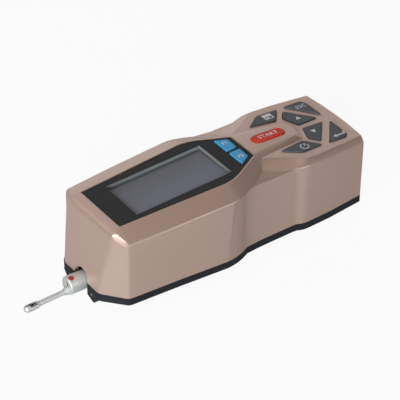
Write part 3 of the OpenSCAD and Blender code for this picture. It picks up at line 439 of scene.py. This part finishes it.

# %% [markdown]
# ## The display
# A liquid-crystal panel that is switched off is a dull blue-grey sheet behind a clear face. Its rows of
# dots show only as a very fine lattice. Its colour is painted darker towards the far edge, as painted shade
# from the wall of the window. Two waves make the lattice, and the coat makes the clear face.

# %% The display
DOT_PITCH = 0.42*MM
WAVE_PERIOD = 0.314  # of the wave texture, at a scale of one
LATTICE_SHARE = 0.18
NEAR_TONE = (0.165, 0.176, 0.245)
# painted shade: the darker tone painted at the far edge of the panel
FAR_PAINTED_SHADE = (0.1, 0.102, 0.113)
LATTICE_TONE = (0.07, 0.072, 0.085)

panel = Finish("display_panel", {
    "Coat Weight": 0.35, "Coat Roughness": 0.16, "Roughness": 0.5, "Specular IOR Level": 0.3})
display_low, display_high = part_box("lcd_glass")
spot = panel.place()
wave = {"Vector": spot, "Scale": WAVE_PERIOD/DOT_PITCH}
lattice = [panel.node("ShaderNodeTexWave", {"bands_direction": way}, wave) for way in ("X", "Y")]
across = panel.node("ShaderNodeSeparateXYZ", sockets={0: spot}, output="Y")
# Painted shade: the panel's colour darkens from the near edge to the far edge of the glass.
shade = panel.node("ShaderNodeMapRange", sockets={0: across, 1: display_low.y, 2: display_high.y})
sheet_with_painted_shade = panel.mix(shade, NEAR_TONE, FAR_PAINTED_SHADE)
panel.tint(lattice[0]*lattice[1]*LATTICE_SHARE, sheet_with_painted_shade, LATTICE_TONE)
print("display panel ready")

# %% [markdown]
# ## Board, wrap and enamel
# The boards and the battery are hidden when the case is closed, but each still has its own finish: green
# solder mask with copper tracks under it, and shrink wrap on the cells. The third finish here does show: it
# is the red enamel of the dot on the pickup.

# %% Board, wrap and enamel
TRACK_SCALE = 90.0
TRACK_WIDTH = 0.03
CREASE_STRETCH = (0.2, 2, 2)
CREASE_DEPTH = 0.05*MM

board = Finish("solder_mask", {"Coat Weight": 0.3})
bricks = {"Vector": board.place(), "Scale": TRACK_SCALE, "Mortar Size": TRACK_WIDTH}
tracks = board.node("ShaderNodeTexBrick", sockets=bricks, output="Fac")
board.tint(tracks, (0.012, 0.1, 0.04), (0.05, 0.2, 0.08))
board.roughen(board.noise(size=2*MM), least=0.3, span=0.2)

wrap = Finish("shrink_wrap", {"Coat Weight": 0.4})
crease = wrap.noise(2*MM, CREASE_STRETCH, detail=3)
wrap.tint(crease, (0.02, 0.08, 0.3), (0.035, 0.12, 0.4))
wrap.roughen(crease, least=0.25, span=0.2)
wrap.relief(crease, CREASE_DEPTH)

enamel = Finish("red_enamel", {"Coat Weight": 0.5})
enamel.tint(enamel.noise(size=0.5*MM), (0.32, 0.02, 0.03), (0.46, 0.045, 0.06))
enamel.roughen(enamel.noise(size=1*MM), least=0.3, span=0.1)
print("board, wrap and enamel ready")

# %% [markdown]
# ## Dressing a piece
# A piece that this lesson adds takes its body from the node that it belongs to. Three small
# functions see to that. Four others join a node's loose triangles along their edges, take the mesh that a
# modifier or a text comes to, shade a mesh smooth with its sharp edges kept, and measure the box round
# some points.

# %% Dressing a piece
FINISHES = {
    "housing_shell": lacquer.material, "base_black": base_black, "bezel_black": bezel_black,
    "lcd": panel.material, "key_blue": key_blue, "key_red": key_red, "key_dark": key_dark,
    "pickup_silver": pickup_silver, "mark_red": enamel.material, "steel": steel, "stylus": tip_grey,
    "alloy": alloy, "bronze": bronze, "motor_can": motor_can, "circuit_board": board.material,
    "board_parts": board_moulding, "battery_wrap": wrap.material,
}
WELD = 0.001*MM
SHARP_FROM = math.radians(40)


def dress(thing, material):
    thing.data.materials.clear()
    thing.data.materials.append(material)


def ride_with(piece, node):
    """Lets a piece ride on a node's body."""
    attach(piece, BODY_OF[node])


def stand_for(piece, node):
    """Lets a piece ride with a node and be shown instead of it."""
    ride_with(piece, node)
    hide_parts(node)


def welded(node):
    shape = bmesh.new()
    shape.from_mesh(frame["nodes"][node].data)
    bmesh.ops.remove_doubles(shape, verts=shape.verts, dist=WELD)
    return shape


def final_mesh(piece):
    return bpy.data.meshes.new_from_object(piece.evaluated_get(bpy.context.evaluated_depsgraph_get()))


def shade_crisp(mesh):
    mesh.shade_smooth()
    mesh.set_sharp_from_angle(angle=SHARP_FROM)


def box_of(points):
    return Vector(map(min, zip(*points))), Vector(map(max, zip(*points)))


print(len(FINISHES), "finishes, one for each slot")

# %% [markdown]
# ## Rounded copies
# Every real moulding and turning has a small radius on its edges, and that radius is what catches the
# light. The solids come as loose triangles with sharp edges, so each piece that shows is copied, its
# triangles are joined along their edges, and every edge sharper than a limit gets a narrow bevel. The
# shading then follows the flat regions: where regions meet at a shallow angle, each corner takes the
# normals of its regions, weighted by their areas. A large face stays flat right up to its narrow radius,
# and the facets of the housing stay crisp. The copy then stands for the solid, which stays underneath for
# the physics.

# %% Rounded copies
SAME_REGION = math.cos(math.radians(1))
SMOOTH_BELOW = math.cos(math.radians(25))
BEVEL_FROM = math.radians(50)
BEVEL_SEGMENTS = 2


def flat_regions(shape):
    """The number of the flat region that each face belongs to, and the area of each region."""
    region, areas = {}, []
    for start in shape.faces:
        if start in region:
            continue
        region[start] = len(areas)
        stack, area = [start], 0.0
        while stack:
            face = stack.pop()
            area += face.calc_area()
            for edge in face.edges:
                for other in edge.link_faces:
                    if other not in region and other.normal.dot(start.normal) > SAME_REGION:
                        region[other] = len(areas)
                        stack.append(other)
        areas.append(area)
    return region, areas


def region_normals(shape):
    """A normal for every corner, from the flat regions at a shallow angle to it, weighted by area."""
    region, areas = flat_regions(shape)
    normals = []
    for face in shape.faces:
        for corner in face.loops:
            near = {region[other]: other.normal for other in corner.vert.link_faces
                    if other.normal.dot(face.normal) > SMOOTH_BELOW}
            total = sum((normal*areas[number] for number, normal in near.items()), Vector())
            normals.append((total if total.length > 0 else face.normal).normalized())
    return normals


def rounded_copy(node, radius):
    shape = welded(node)
    mesh = bpy.data.meshes.new(node + "_rounded")
    shape.to_mesh(mesh)
    piece = new_object(node + "_rounded", mesh)
    bevel = piece.modifiers.new("edge radius", "BEVEL")
    bevel.width = radius
    bevel.segments = BEVEL_SEGMENTS
    bevel.limit_method = "ANGLE"
    bevel.angle_limit = BEVEL_FROM
    bevelled = final_mesh(piece)
    piece.modifiers.clear()
    shape.clear()
    shape.from_mesh(bevelled)
    bpy.data.meshes.remove(bevelled)
    normals = region_normals(shape)
    shape.to_mesh(mesh)
    shape.free()
    mesh.shade_smooth()
    mesh.normals_split_custom_set(normals)
    dress(piece, FINISHES[SLOT_OF[node]])
    stand_for(piece, node)


KEYS = [node for node in frame["nodes"] if node.startswith("key_") and BODY_OF.get(node) == node]
EDGE_RADII = {
    "upper_housing": 0.3*MM, "base_frame": 0.2*MM, "display_bezel": 0.2*MM,
    "pickup_body": 0.15*MM, "pickup_tube": 0.08*MM, "pickup_nose": 0.08*MM, "charge_socket": 0.15*MM,
    **{key: 0.18*MM for key in KEYS},
}
for node, radius in EDGE_RADII.items():
    rounded_copy(node, radius)
for node, solid in frame["nodes"].items():
    if node not in EDGE_RADII:
        dress(solid, FINISHES[SLOT_OF[node]])
print(f"{len(EDGE_RADII)} rounded copies, {len(frame['nodes']) - len(EDGE_RADII)} solids kept as they are")

# %% [markdown]
# ## Legends
# Each key carries a white legend: a word, a triangle or a small sign. A legend lies in the plane of its
# key's top, so that plane is measured first: the way the key presses gives its normal, and the highest
# ring of its mesh gives its middle. Words come from a text curve, made a mesh before it is placed. Signs
# are outlines in millimetres, filled and raised by the thickness of the ink.

# %% Legend tools
INK_THICKNESS = 0.04*MM
INK_SPREAD = 0.03*MM
RING_DEPTH = 0.01*MM


def points_of(node):
    return [v.co.copy() for v in frame["nodes"][node].data.vertices]


def top_plane(node, out):
    """A frame in the middle of a node's highest ring: +X to the rear, +Z out of the plane."""
    points = points_of(node)
    top = max(p.dot(out) for p in points)
    low, high = box_of([p for p in points if p.dot(out) > top - RING_DEPTH])
    right = (Vector((1, 0, 0)) - out*out.x).normalized()
    turn = Matrix((right, out.cross(right), out)).transposed().to_4x4()
    return Matrix.Translation((low + high)/2) @ turn


def word_mesh(text, height, spacing=1.0):
    curve = bpy.data.curves.new("word", "FONT")
    curve.body = text
    curve.size = height
    curve.align_x = "CENTER"
    curve.align_y = "CENTER"
    curve.offset = INK_SPREAD
    curve.space_character = spacing
    curve.extrude = INK_THICKNESS/2
    holder = new_object("word", curve)
    mesh = final_mesh(holder)
    bpy.data.objects.remove(holder)
    return mesh


def sign_mesh(outlines):
    """Closed outlines in millimetres, filled and given the thickness of the ink."""
    shape = bmesh.new()
    for outline in outlines:
        corners = [shape.verts.new((x*MM, y*MM, -INK_THICKNESS/2)) for x, y in outline]
        face = shape.faces.new(corners)
        raised = bmesh.ops.extrude_face_region(shape, geom=[face])["geom"]
        lifted = [item for item in raised if isinstance(item, bmesh.types.BMVert)]
        bmesh.ops.translate(shape, verts=lifted, vec=(0, 0, INK_THICKNESS))
    bmesh.ops.recalc_face_normals(shape, faces=shape.faces)
    mesh = bpy.data.meshes.new("sign")
    shape.to_mesh(mesh)
    shape.free()
    return mesh


def print_legend(key, mesh, x=0, y=0, turn=0):
    """Lays a legend on a key, x and y millimetres from the middle of its top."""
    place = top_plane(key, -PRESS_OF[key]) @ Matrix.Translation((x*MM, y*MM, 0))
    mesh.transform(place @ Matrix.Rotation(math.radians(turn), 4, "Z"))
    legend = new_object(key + "_legend", mesh)
    dress(legend, ink)
    ride_with(legend, key)
    return legend


def arc(radius, first, last, steps=20):
    angles = [math.radians(first + (last - first)*i/steps) for i in range(steps + 1)]
    return [(radius*math.cos(a), radius*math.sin(a)) for a in angles]


def bar(x0, y0, x1, y1):
    return [(x0, y0), (x1, y0), (x1, y1), (x0, y1)]


start_top = top_plane("key_start", -PRESS_OF["key_start"]).translation
print("top of the start key at", [round(v/MM, 2) for v in start_top])

# %% [markdown]
# ## What the keys say
# The words are generic: start, escape and two function keys. A triangle points up or down, and the store,
# enter and power keys carry the usual signs, each drawn from a few bars and arcs.

# %% Legends
triangle = [(0, 1.8), (-1.53, -0.9), (1.53, -0.9)]
power_sign = [arc(2.4, 122, 418) + arc(1.9, 418, 122), bar(-0.26, 0.4, 0.26, 2.7)]
enter_sign = [[(-4.0, -0.5), (-1.7, -1.8), (-1.7, -0.95), (3.9, -0.95), (3.9, 1.5), (3.1, 1.5),
               (3.1, -0.1), (-1.7, -0.1), (-1.7, 0.8)]]
store_sign = [bar(-2.7, -2.3, -2.0, 2.3), bar(-2.0, -0.1, 2.0, 2.3), bar(2.0, -2.3, 2.7, 2.3),
              bar(-2.0, -2.3, 2.0, -1.8), bar(-1.6, -1.8, 0.2, -0.7)]
legends = [
    print_legend("key_start", word_mesh("START", height=4.0*MM, spacing=1.06)),
    print_legend("key_escape", word_mesh("ESC", height=3.7*MM, spacing=1.1), x=1.5, y=3.2),
    print_legend("key_save", sign_mesh(store_sign), x=2.7, y=0.6),
    print_legend("key_power", sign_mesh(power_sign), x=1.8, y=-0.9, turn=-30),
    print_legend("key_enter", sign_mesh(enter_sign), x=1.7, y=-4.6),
    print_legend("key_up", sign_mesh([triangle]), x=-1.0, y=-2.2),
    print_legend("key_down", sign_mesh([triangle]), x=-1.6, y=1.7, turn=180),
    print_legend("key_left", word_mesh("F1", height=3.2*MM), y=0.4),
    print_legend("key_right", word_mesh("F2", height=3.2*MM), y=-0.4),
]
print(f"{len(legends)} legends printed")

# %% [markdown]
# ## Shapes for trim
# Thin trim needs three shapes: a ring of four walls, made from nested rectangles that are joined, a block
# with softened edges, and a low dome. Each is drawn at the origin and carried to its place as it becomes a
# piece.

# %% Shapes for trim
def solid_ring(half_length, half_width, wall, height):
    """A rectangular ring that stands on z = 0."""
    shape = bmesh.new()
    rings = []
    for inset, z in ((0, 0), (0, height), (wall, height), (wall, 0)):
        a, b = half_length - inset, half_width - inset
        rings.append([shape.verts.new((x*a, y*b, z)) for x, y in ((1, 1), (-1, 1), (-1, -1), (1, -1))])
    for first, second in zip(rings, rings[1:] + rings[:1]):
        for i in range(4):
            shape.faces.new((first[i], second[i], second[i - 1], first[i - 1]))
    bmesh.ops.recalc_face_normals(shape, faces=shape.faces)
    return shape


def solid_block(length, width, height, edge):
    """A block with softened edges that starts at x = 0 and stands on z = 0."""
    shape = bmesh.new()
    bmesh.ops.create_cube(shape, size=1)
    bmesh.ops.scale(shape, verts=shape.verts, vec=(length, width, height))
    bmesh.ops.translate(shape, verts=shape.verts, vec=(length/2, 0, height/2))
    bmesh.ops.bevel(shape, geom=shape.edges, offset=edge, segments=2, affect="EDGES")
    return shape


def dome(radius, height, steps=20, rings=(1.0, 0.8, 0.5)):
    """A low dome on z = 0, closed below. Its rings are given as shares of the radius."""
    shape = bmesh.new()
    angles = [2*math.pi*i/steps for i in range(steps)]
    loops = [
        [shape.verts.new((radius*k*math.cos(a), radius*k*math.sin(a), height*(1 - k*k))) for a in angles]
        for k in rings
    ]
    for low, high in zip(loops, loops[1:]):
        for i in range(steps):
            shape.faces.new((low[i - 1], low[i], high[i], high[i - 1]))
    shape.faces.new(loops[-1])
    shape.faces.new(list(reversed(loops[0])))
    bmesh.ops.recalc_face_normals(shape, faces=shape.faces)
    return shape


def placed_piece(name, shape, place, node, material):
    """Makes a shape a piece that rides with a node."""
    mesh = bpy.data.meshes.new(name)
    shape.to_mesh(mesh)
    shape.free()
    mesh.transform(place)
    shade_crisp(mesh)
    piece = new_object(name, mesh)
    dress(piece, material)
    ride_with(piece, node)


print("ring, block and dome are ready")

# %% [markdown]
# ## The window's liner and the bezel's dots
# Inside the bezel's window runs a pale grey wall, which shows as a light line along the far side and the
# rear. It is a ring that stands on the glass, a little inside its edge. The bezel also has two tiny lenses:
# a grey light sensor and a dark red charging light.

# %% Liner and dots
PANEL_OUT = -PRESS_OF["key_left"]
GLASS_MARGIN = 1.6*MM
LINER_WALL = 0.3*MM
LINER_HEIGHT = 1.75*MM
DOT_RADIUS = 0.45*MM
DOT_HEIGHT = 0.12*MM
DOTS = (("light_sensor", (-19.2, 18.4), window_grey), ("charge_lamp", (29.8, -8.9), lamp_red))

glass_face = top_plane("lcd_glass", PANEL_OUT)
local = [glass_face.inverted() @ p for p in points_of("lcd_glass")]
half_length = max(p.x for p in local) - GLASS_MARGIN
half_width = max(p.y for p in local) - GLASS_MARGIN
liner_shape = solid_ring(half_length, half_width, LINER_WALL, LINER_HEIGHT)
placed_piece("window_liner", liner_shape, glass_face, "display_bezel", window_grey)
bezel_face = top_plane("display_bezel", PANEL_OUT)
for name, (x, y), material in DOTS:
    dot_place = bezel_face @ Matrix.Translation((x*MM, y*MM, 0))
    placed_piece(name, dome(DOT_RADIUS, DOT_HEIGHT), dot_place, "display_bezel", material)
print(f"window {2*half_length/MM:.1f} by {2*half_width/MM:.1f} mm, {len(DOTS)} dots")

# %% [markdown]
# ## The open end of the pickup
# Behind its rounded tip the pickup's nose is open at the top, and the stylus lever lies in that window. The
# inside is painted dark: a thin black sheet of painted shade lies there, for the shade inside the open nose.
# It is one outline that runs along a ledge, round under the lever and along the other ledge, drawn out to
# the length of the window. The nose droops a little, so the sheet is measured from the middle of the rounded
# tip and turned by the same angle.

# %% Nose sheet of painted shade
NOSE_RADIUS = 2.0*MM
NOSE_DROOP = math.radians(2.2)
NOSE_OPENING = (1.25*MM, 5.35*MM)
# The outline across the nose is drawn in millimetres.
TROUGH = 0.95
TROUGH_RISE = 0.03
LEDGE = 1.57
LEDGE_TOP = 0.05
LEDGE_UNDER = 0.02
SHADE_SHEET_THICKNESS = 0.02


def shade_sheet_outline(steps=12):
    """Half-round trough with a ledge on each side, in millimetres across the nose."""
    angles = [math.pi + math.pi*i/steps for i in range(steps + 1)]
    under = TROUGH + SHADE_SHEET_THICKNESS
    inner = [(TROUGH*math.cos(a), TROUGH*math.sin(a) + TROUGH_RISE) for a in angles]
    outer = [(under*math.cos(a), under*math.sin(a) + TROUGH_RISE - SHADE_SHEET_THICKNESS/2) for a in angles]
    upper = [(-LEDGE, LEDGE_TOP), (-TROUGH, LEDGE_TOP), *inner, (TROUGH, LEDGE_TOP), (LEDGE, LEDGE_TOP)]
    lower = [(LEDGE, LEDGE_UNDER), *reversed(outer), (-LEDGE, LEDGE_UNDER)]
    return upper + lower


nose_low, nose_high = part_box("pickup_nose")
tip_middle = Vector((nose_low.x + NOSE_RADIUS, (nose_low.y + nose_high.y)/2, nose_low.z + NOSE_RADIUS))
shade_sheet = bmesh.new()
front_ring, rear_ring = (
    [shade_sheet.verts.new((x, y*MM, z*MM)) for y, z in shade_sheet_outline()] for x in NOSE_OPENING)
for i in range(len(front_ring)):
    shade_sheet.faces.new((front_ring[i - 1], front_ring[i], rear_ring[i], rear_ring[i - 1]))
for ring in (front_ring, rear_ring):
    rim = [shade_sheet.edges.get((ring[i - 1], ring[i])) for i in range(len(ring))]
    bmesh.ops.triangle_fill(shade_sheet, use_beauty=True, edges=rim)
bmesh.ops.recalc_face_normals(shade_sheet, faces=shade_sheet.faces)
shade_sheet_place = Matrix.Translation(tip_middle) @ Matrix.Rotation(-NOSE_DROOP, 4, "Y")
# A black sheet of painted shade inside the open nose, riding with the nose.
placed_piece("nose_painted_shade", shade_sheet, shade_sheet_place, "pickup_nose", bezel_black)
print("nose lining", round((NOSE_OPENING[1] - NOSE_OPENING[0])/MM, 2), "mm long")

# %% [markdown]
# ## The slot in the pickup's face
# The slot beside the tube is painted dark too: a small black plate of painted shade lies in it, for the
# shade down in the slot. Its face is measured from the red mark, and the plate leans with the slot, about a
# point a little off the pickup's axis.

# %% Face slot
MARK_TO_FACE = 2.05*MM
SLOT_SIZE = (0.06*MM, 0.72*MM, 2.52*MM)
SLOT_EDGE = 0.01*MM
SLOT_DEPTH = 0.3*MM
SLOT_LEAN = math.radians(20)
SLOT_ASIDE = 0.4*MM
SLOT_DROP = 0.2*MM
SLOT_LIFT = 0.04*MM

mark_low, mark_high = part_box("pickup_mark")
pickup_low, pickup_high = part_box("pickup_body")
face_x = (mark_low.x + mark_high.x)/2 - MARK_TO_FACE
axis_z = pickup_high.z - (pickup_high.y - pickup_low.y)/2
slot_place = (Matrix.Translation((face_x + SLOT_DEPTH, -SLOT_ASIDE, axis_z - SLOT_DROP))
              @ Matrix.Rotation(SLOT_LEAN, 4, "X") @ Matrix.Translation((0, SLOT_ASIDE, SLOT_LIFT)))
# A black plate of painted shade in the slot of the pickup's face.
placed_piece("face_slot_painted_shade", solid_block(*SLOT_SIZE, SLOT_EDGE), slot_place, "pickup_body", bezel_black)
print(f"face slot at x = {face_x/MM:.2f} mm")

# %% [markdown]
# ## Recipes for what repeats
# Screws, threads and contacts repeat one shape or follow a path, so Geometry Nodes make them. A Recipe is a
# node tree with named sizes, built with the same Tree class as the finishes. It starts from a few points,
# which say where the copies go, and ends in Realize Instances and Set Material. The result is taken as a
# plain mesh, so neither the points nor the modifier stay in the scene.

# %% Recipe
class Recipe(Tree):
    """A Geometry Nodes tree with named sizes."""

    def __init__(self, name, *sizes):
        super().__init__(bpy.data.node_groups.new(name, "GeometryNodeTree"))
        face = self.tree.interface
        face.new_socket("Points", in_out="INPUT", socket_type="NodeSocketGeometry")
        for size in sizes:
            face.new_socket(size, in_out="INPUT", socket_type="NodeSocketFloat")
        face.new_socket("Mesh", in_out="OUTPUT", socket_type="NodeSocketGeometry")
        given = self.tree.nodes.new("NodeGroupInput")
        self.points = Flow(self, given.outputs["Points"])
        self.sizes = [Flow(self, given.outputs[size]) for size in sizes]

    def vector(self, x, y, z):
        return self.node("ShaderNodeCombineXYZ", sockets={0: x, 1: y, 2: z})

    def block(self, x, y, z):
        return self.node("GeometryNodeMeshCube", sockets={"Size": self.vector(x, y, z)})

    def moved(self, geometry, shift, turn=(0, 0, 0)):
        sockets = {"Geometry": geometry, "Translation": shift, "Rotation": turn}
        return self.node("GeometryNodeTransform", sockets=sockets)

    def rod(self, radius, length, low, sides=24):
        """An upright cylinder that stands on the height low."""
        sockets = {"Vertices": sides, "Radius": radius, "Depth": length}
        upright = self.node("GeometryNodeMeshCylinder", sockets=sockets)
        return self.moved(upright, self.vector(0, 0, low + length/2))

    def joined(self, *parts):
        whole = self.tree.nodes.new("GeometryNodeJoinGeometry")
        for part in parts:
            self.link(part, whole.inputs[0])
        return Flow(self, whole.outputs[0])

    def copies(self, shape, turn=(0, 0, 0)):
        sockets = {"Points": self.points, "Instance": shape, "Rotation": turn}
        return self.node("GeometryNodeInstanceOnPoints", sockets=sockets)

    def close(self, geometry, material):
        plain = self.node("GeometryNodeRealizeInstances", sockets={0: geometry})
        dressed = self.node("GeometryNodeSetMaterial", sockets={"Geometry": plain, "Material": material})
        self.link(dressed, self.tree.nodes.new("NodeGroupOutput").inputs[0])

    def make(self, name, points, **sizes):
        mesh = bpy.data.meshes.new(name)
        mesh.from_pydata(points, [], [])
        seed = new_object(name + "_points", mesh)
        modifier = seed.modifiers.new("recipe", "NODES")
        modifier.node_group = self.tree
        for socket in self.tree.interface.items_tree:
            if socket.in_out == "INPUT" and socket.name in sizes:
                modifier[socket.identifier] = sizes[socket.name]
        made = final_mesh(seed)
        bpy.data.objects.remove(seed)
        shade_crisp(made)
        return new_object(name, made)


print("Recipe is ready")

# %% [markdown]
# ## Screws with a cross recess
# Four screws hold the base to the housing and two small ones sit in its front. On the real screw a punch
# leaves a cross in the head. The recipe cuts two crossed blades out of a head with a Mesh Boolean, adds the
# shank and puts one screw on each point, turned so that the head faces out.

# %% Screws
CASE_HEAD = 1.6*MM
FRONT_HEAD = 0.4*MM
BLADE_REACH = 1.15  # of the head's radius
HEAD_DOWN = (math.pi, 0, 0)
HEAD_FORWARD = (0, -math.pi/2, 0)


def screw_recipe(name, turn, material):
    screw = Recipe(name, "head_radius", "head_height", "shank_radius", "shank_length", "blade_width", "depth")
    head_radius, head_height, shank_radius, shank_length, blade_width, depth = screw.sizes
    blade = screw.block(head_radius*BLADE_REACH, blade_width, depth*2)
    lift = screw.vector(0, 0, head_height)
    crossed = screw.moved(blade, lift, (0, 0, math.pi/2))
    head = screw.rod(head_radius, head_height, 0)
    sockets = {"Mesh 1": head, "Mesh 2": screw.joined(screw.moved(blade, lift), crossed)}
    carved = screw.node("GeometryNodeMeshBoolean", {"operation": "DIFFERENCE", "solver": "EXACT"}, sockets)
    shank = screw.rod(shank_radius, shank_length, 0 - shank_length)
    screw.close(screw.copies(screw.joined(carved, shank), turn), material)
    return screw


def islands(node):
    """The boxes of a node's separate solids."""
    shape = welded(node)
    waiting, found = set(shape.verts), []
    while waiting:
        stack, group = [waiting.pop()], []
        while stack:
            vert = stack.pop()
            group.append(vert.co.copy())
            for edge in vert.link_edges:
                other = edge.other_vert(vert)
                if other in waiting:
                    waiting.remove(other)
                    stack.append(other)
        found.append(box_of(group))
    shape.free()
    return found


case_points = [((a.x + b.x)/2, (a.y + b.y)/2, a.z + CASE_HEAD) for a, b in islands("case_screws")]
front_points = [(a.x + FRONT_HEAD, (a.y + b.y)/2, (a.z + b.z)/2) for a, b in islands("front_screws")]
case_set = screw_recipe("case_screw", HEAD_DOWN, steel).make(
    "case_screws_turned", case_points, head_radius=2.6*MM, head_height=CASE_HEAD,
    shank_radius=1.2*MM, shank_length=11*MM, blade_width=0.7*MM, depth=1.0*MM)
front_set = screw_recipe("front_screw", HEAD_FORWARD, steel).make(
    "front_screws_turned", front_points, head_radius=0.9*MM, head_height=FRONT_HEAD,
    shank_radius=0.6*MM, shank_length=5*MM, blade_width=0.28*MM, depth=0.25*MM)
stand_for(case_set, "case_screws")
stand_for(front_set, "front_screws")
print(len(case_points), "case screws,", len(front_points), "front screws")

# %% [markdown]
# ## The lead screw's thread
# The carriage is driven by a screw with a coarse thread. A thread is a profile carried along a spiral, so
# Curve Spiral and Curve to Mesh make it. The crest stays just inside the size of the solid, which the nut
# and the bearings are made for. The plain ends run in the bearings, and a collar stands beside each.

# %% Thread
LEAD = 2.5*MM
CREST = 1.74*MM
ROOT = 1.35*MM
JOURNAL = 4.8*MM
COLLAR_STEP = 0.9*MM
COLLAR_WIDTH = 1.2*MM
COLLAR_GAP = 0.3*MM
RIDGE_OVERLAP = 1.15
LYING = (0, math.pi/2, 0)

screw_low, screw_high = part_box("lead_screw")
screw_length = screw_high.x - screw_low.x
rear_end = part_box("screw_bearings")[1].x - screw_low.x

thread = Recipe("lead_screw_thread", "crest", "root", "lead", "first", "last", "length")
crest, root, lead, first, last, length = thread.sizes
ridge = (crest - root)/2
run = last - first
turns = run/lead
middle = root + ridge
spiral = thread.node("GeometryNodeCurveSpiral", sockets={
    "Resolution": 24, "Rotations": turns, "Start Radius": middle, "End Radius": middle, "Height": run})
circle = {"Resolution": 6, "Radius": ridge*RIDGE_OVERLAP}
profile = thread.node("GeometryNodeCurvePrimitiveCircle", sockets=circle)
sweep = {"Curve": spiral, "Profile Curve": profile, "Fill Caps": True}
wound = thread.node("GeometryNodeCurveToMesh", sockets=sweep)
core = thread.rod(root, length, 0)
front_journal = thread.rod(crest, first, 0)
rear_journal = thread.rod(crest, length - last, last)
front_collar = thread.rod(crest + COLLAR_STEP, COLLAR_WIDTH, first - (COLLAR_WIDTH + COLLAR_GAP))
rear_collar = thread.rod(crest + COLLAR_STEP, COLLAR_WIDTH, last + COLLAR_GAP)
lifted = thread.moved(wound, thread.vector(0, 0, first))
whole = thread.joined(lifted, core, front_journal, rear_journal, front_collar, rear_collar)
thread.close(thread.copies(whole, LYING), rod_steel)
screw_start = (screw_low.x, (screw_low.y + screw_high.y)/2, (screw_low.z + screw_high.z)/2)
lead_screw = thread.make("lead_screw_threaded", [screw_start], crest=CREST, root=ROOT, lead=LEAD,
                         first=JOURNAL, last=rear_end - JOURNAL, length=screw_length)
stand_for(lead_screw, "lead_screw")
print(f"thread of {len(lead_screw.data.polygons)} faces, {screw_length/MM:.1f} mm long")

# %% [markdown]
# ## Contacts in the charging socket
# Looking into the socket at the rear shows a small dark tongue with a row of gilt contacts on it. The
# tongue is a slim block, and the contacts are one strip repeated along it by a recipe.

# %% Charging socket
TONGUE_SIZE = (3.4*MM, 6.2*MM, 0.7*MM)
TONGUE_EDGE = 0.12*MM
TONGUE_INSET = 1.5*MM
CONTACTS = 5
CONTACT_PITCH = 1.1*MM
CONTACT_INSET = 3.5*MM
CONTACT_RISE = 0.37*MM

socket_low, socket_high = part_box("charge_socket")
socket_y = (socket_low.y + socket_high.y)/2
socket_z = (socket_low.z + socket_high.z)/2
tongue_place = Matrix.Translation((socket_low.x + TONGUE_INSET, socket_y, socket_z - TONGUE_SIZE[2]/2))
placed_piece("socket_tongue", solid_block(*TONGUE_SIZE, TONGUE_EDGE), tongue_place, "charge_socket",
             board_moulding)

strips = Recipe("contact_strips", "length", "width", "height")
strips.close(strips.copies(strips.block(*strips.sizes)), gilt)
strip_x, strip_z = socket_low.x + CONTACT_INSET, socket_z + CONTACT_RISE
strip_points = [(strip_x, socket_y + (i - (CONTACTS - 1)/2)*CONTACT_PITCH, strip_z) for i in range(CONTACTS)]
contact_row = strips.make("socket_contacts", strip_points, length=2.6*MM, width=0.5*MM, height=0.1*MM)
ride_with(contact_row, "charge_socket")
print(CONTACTS, "contacts in the charging socket")
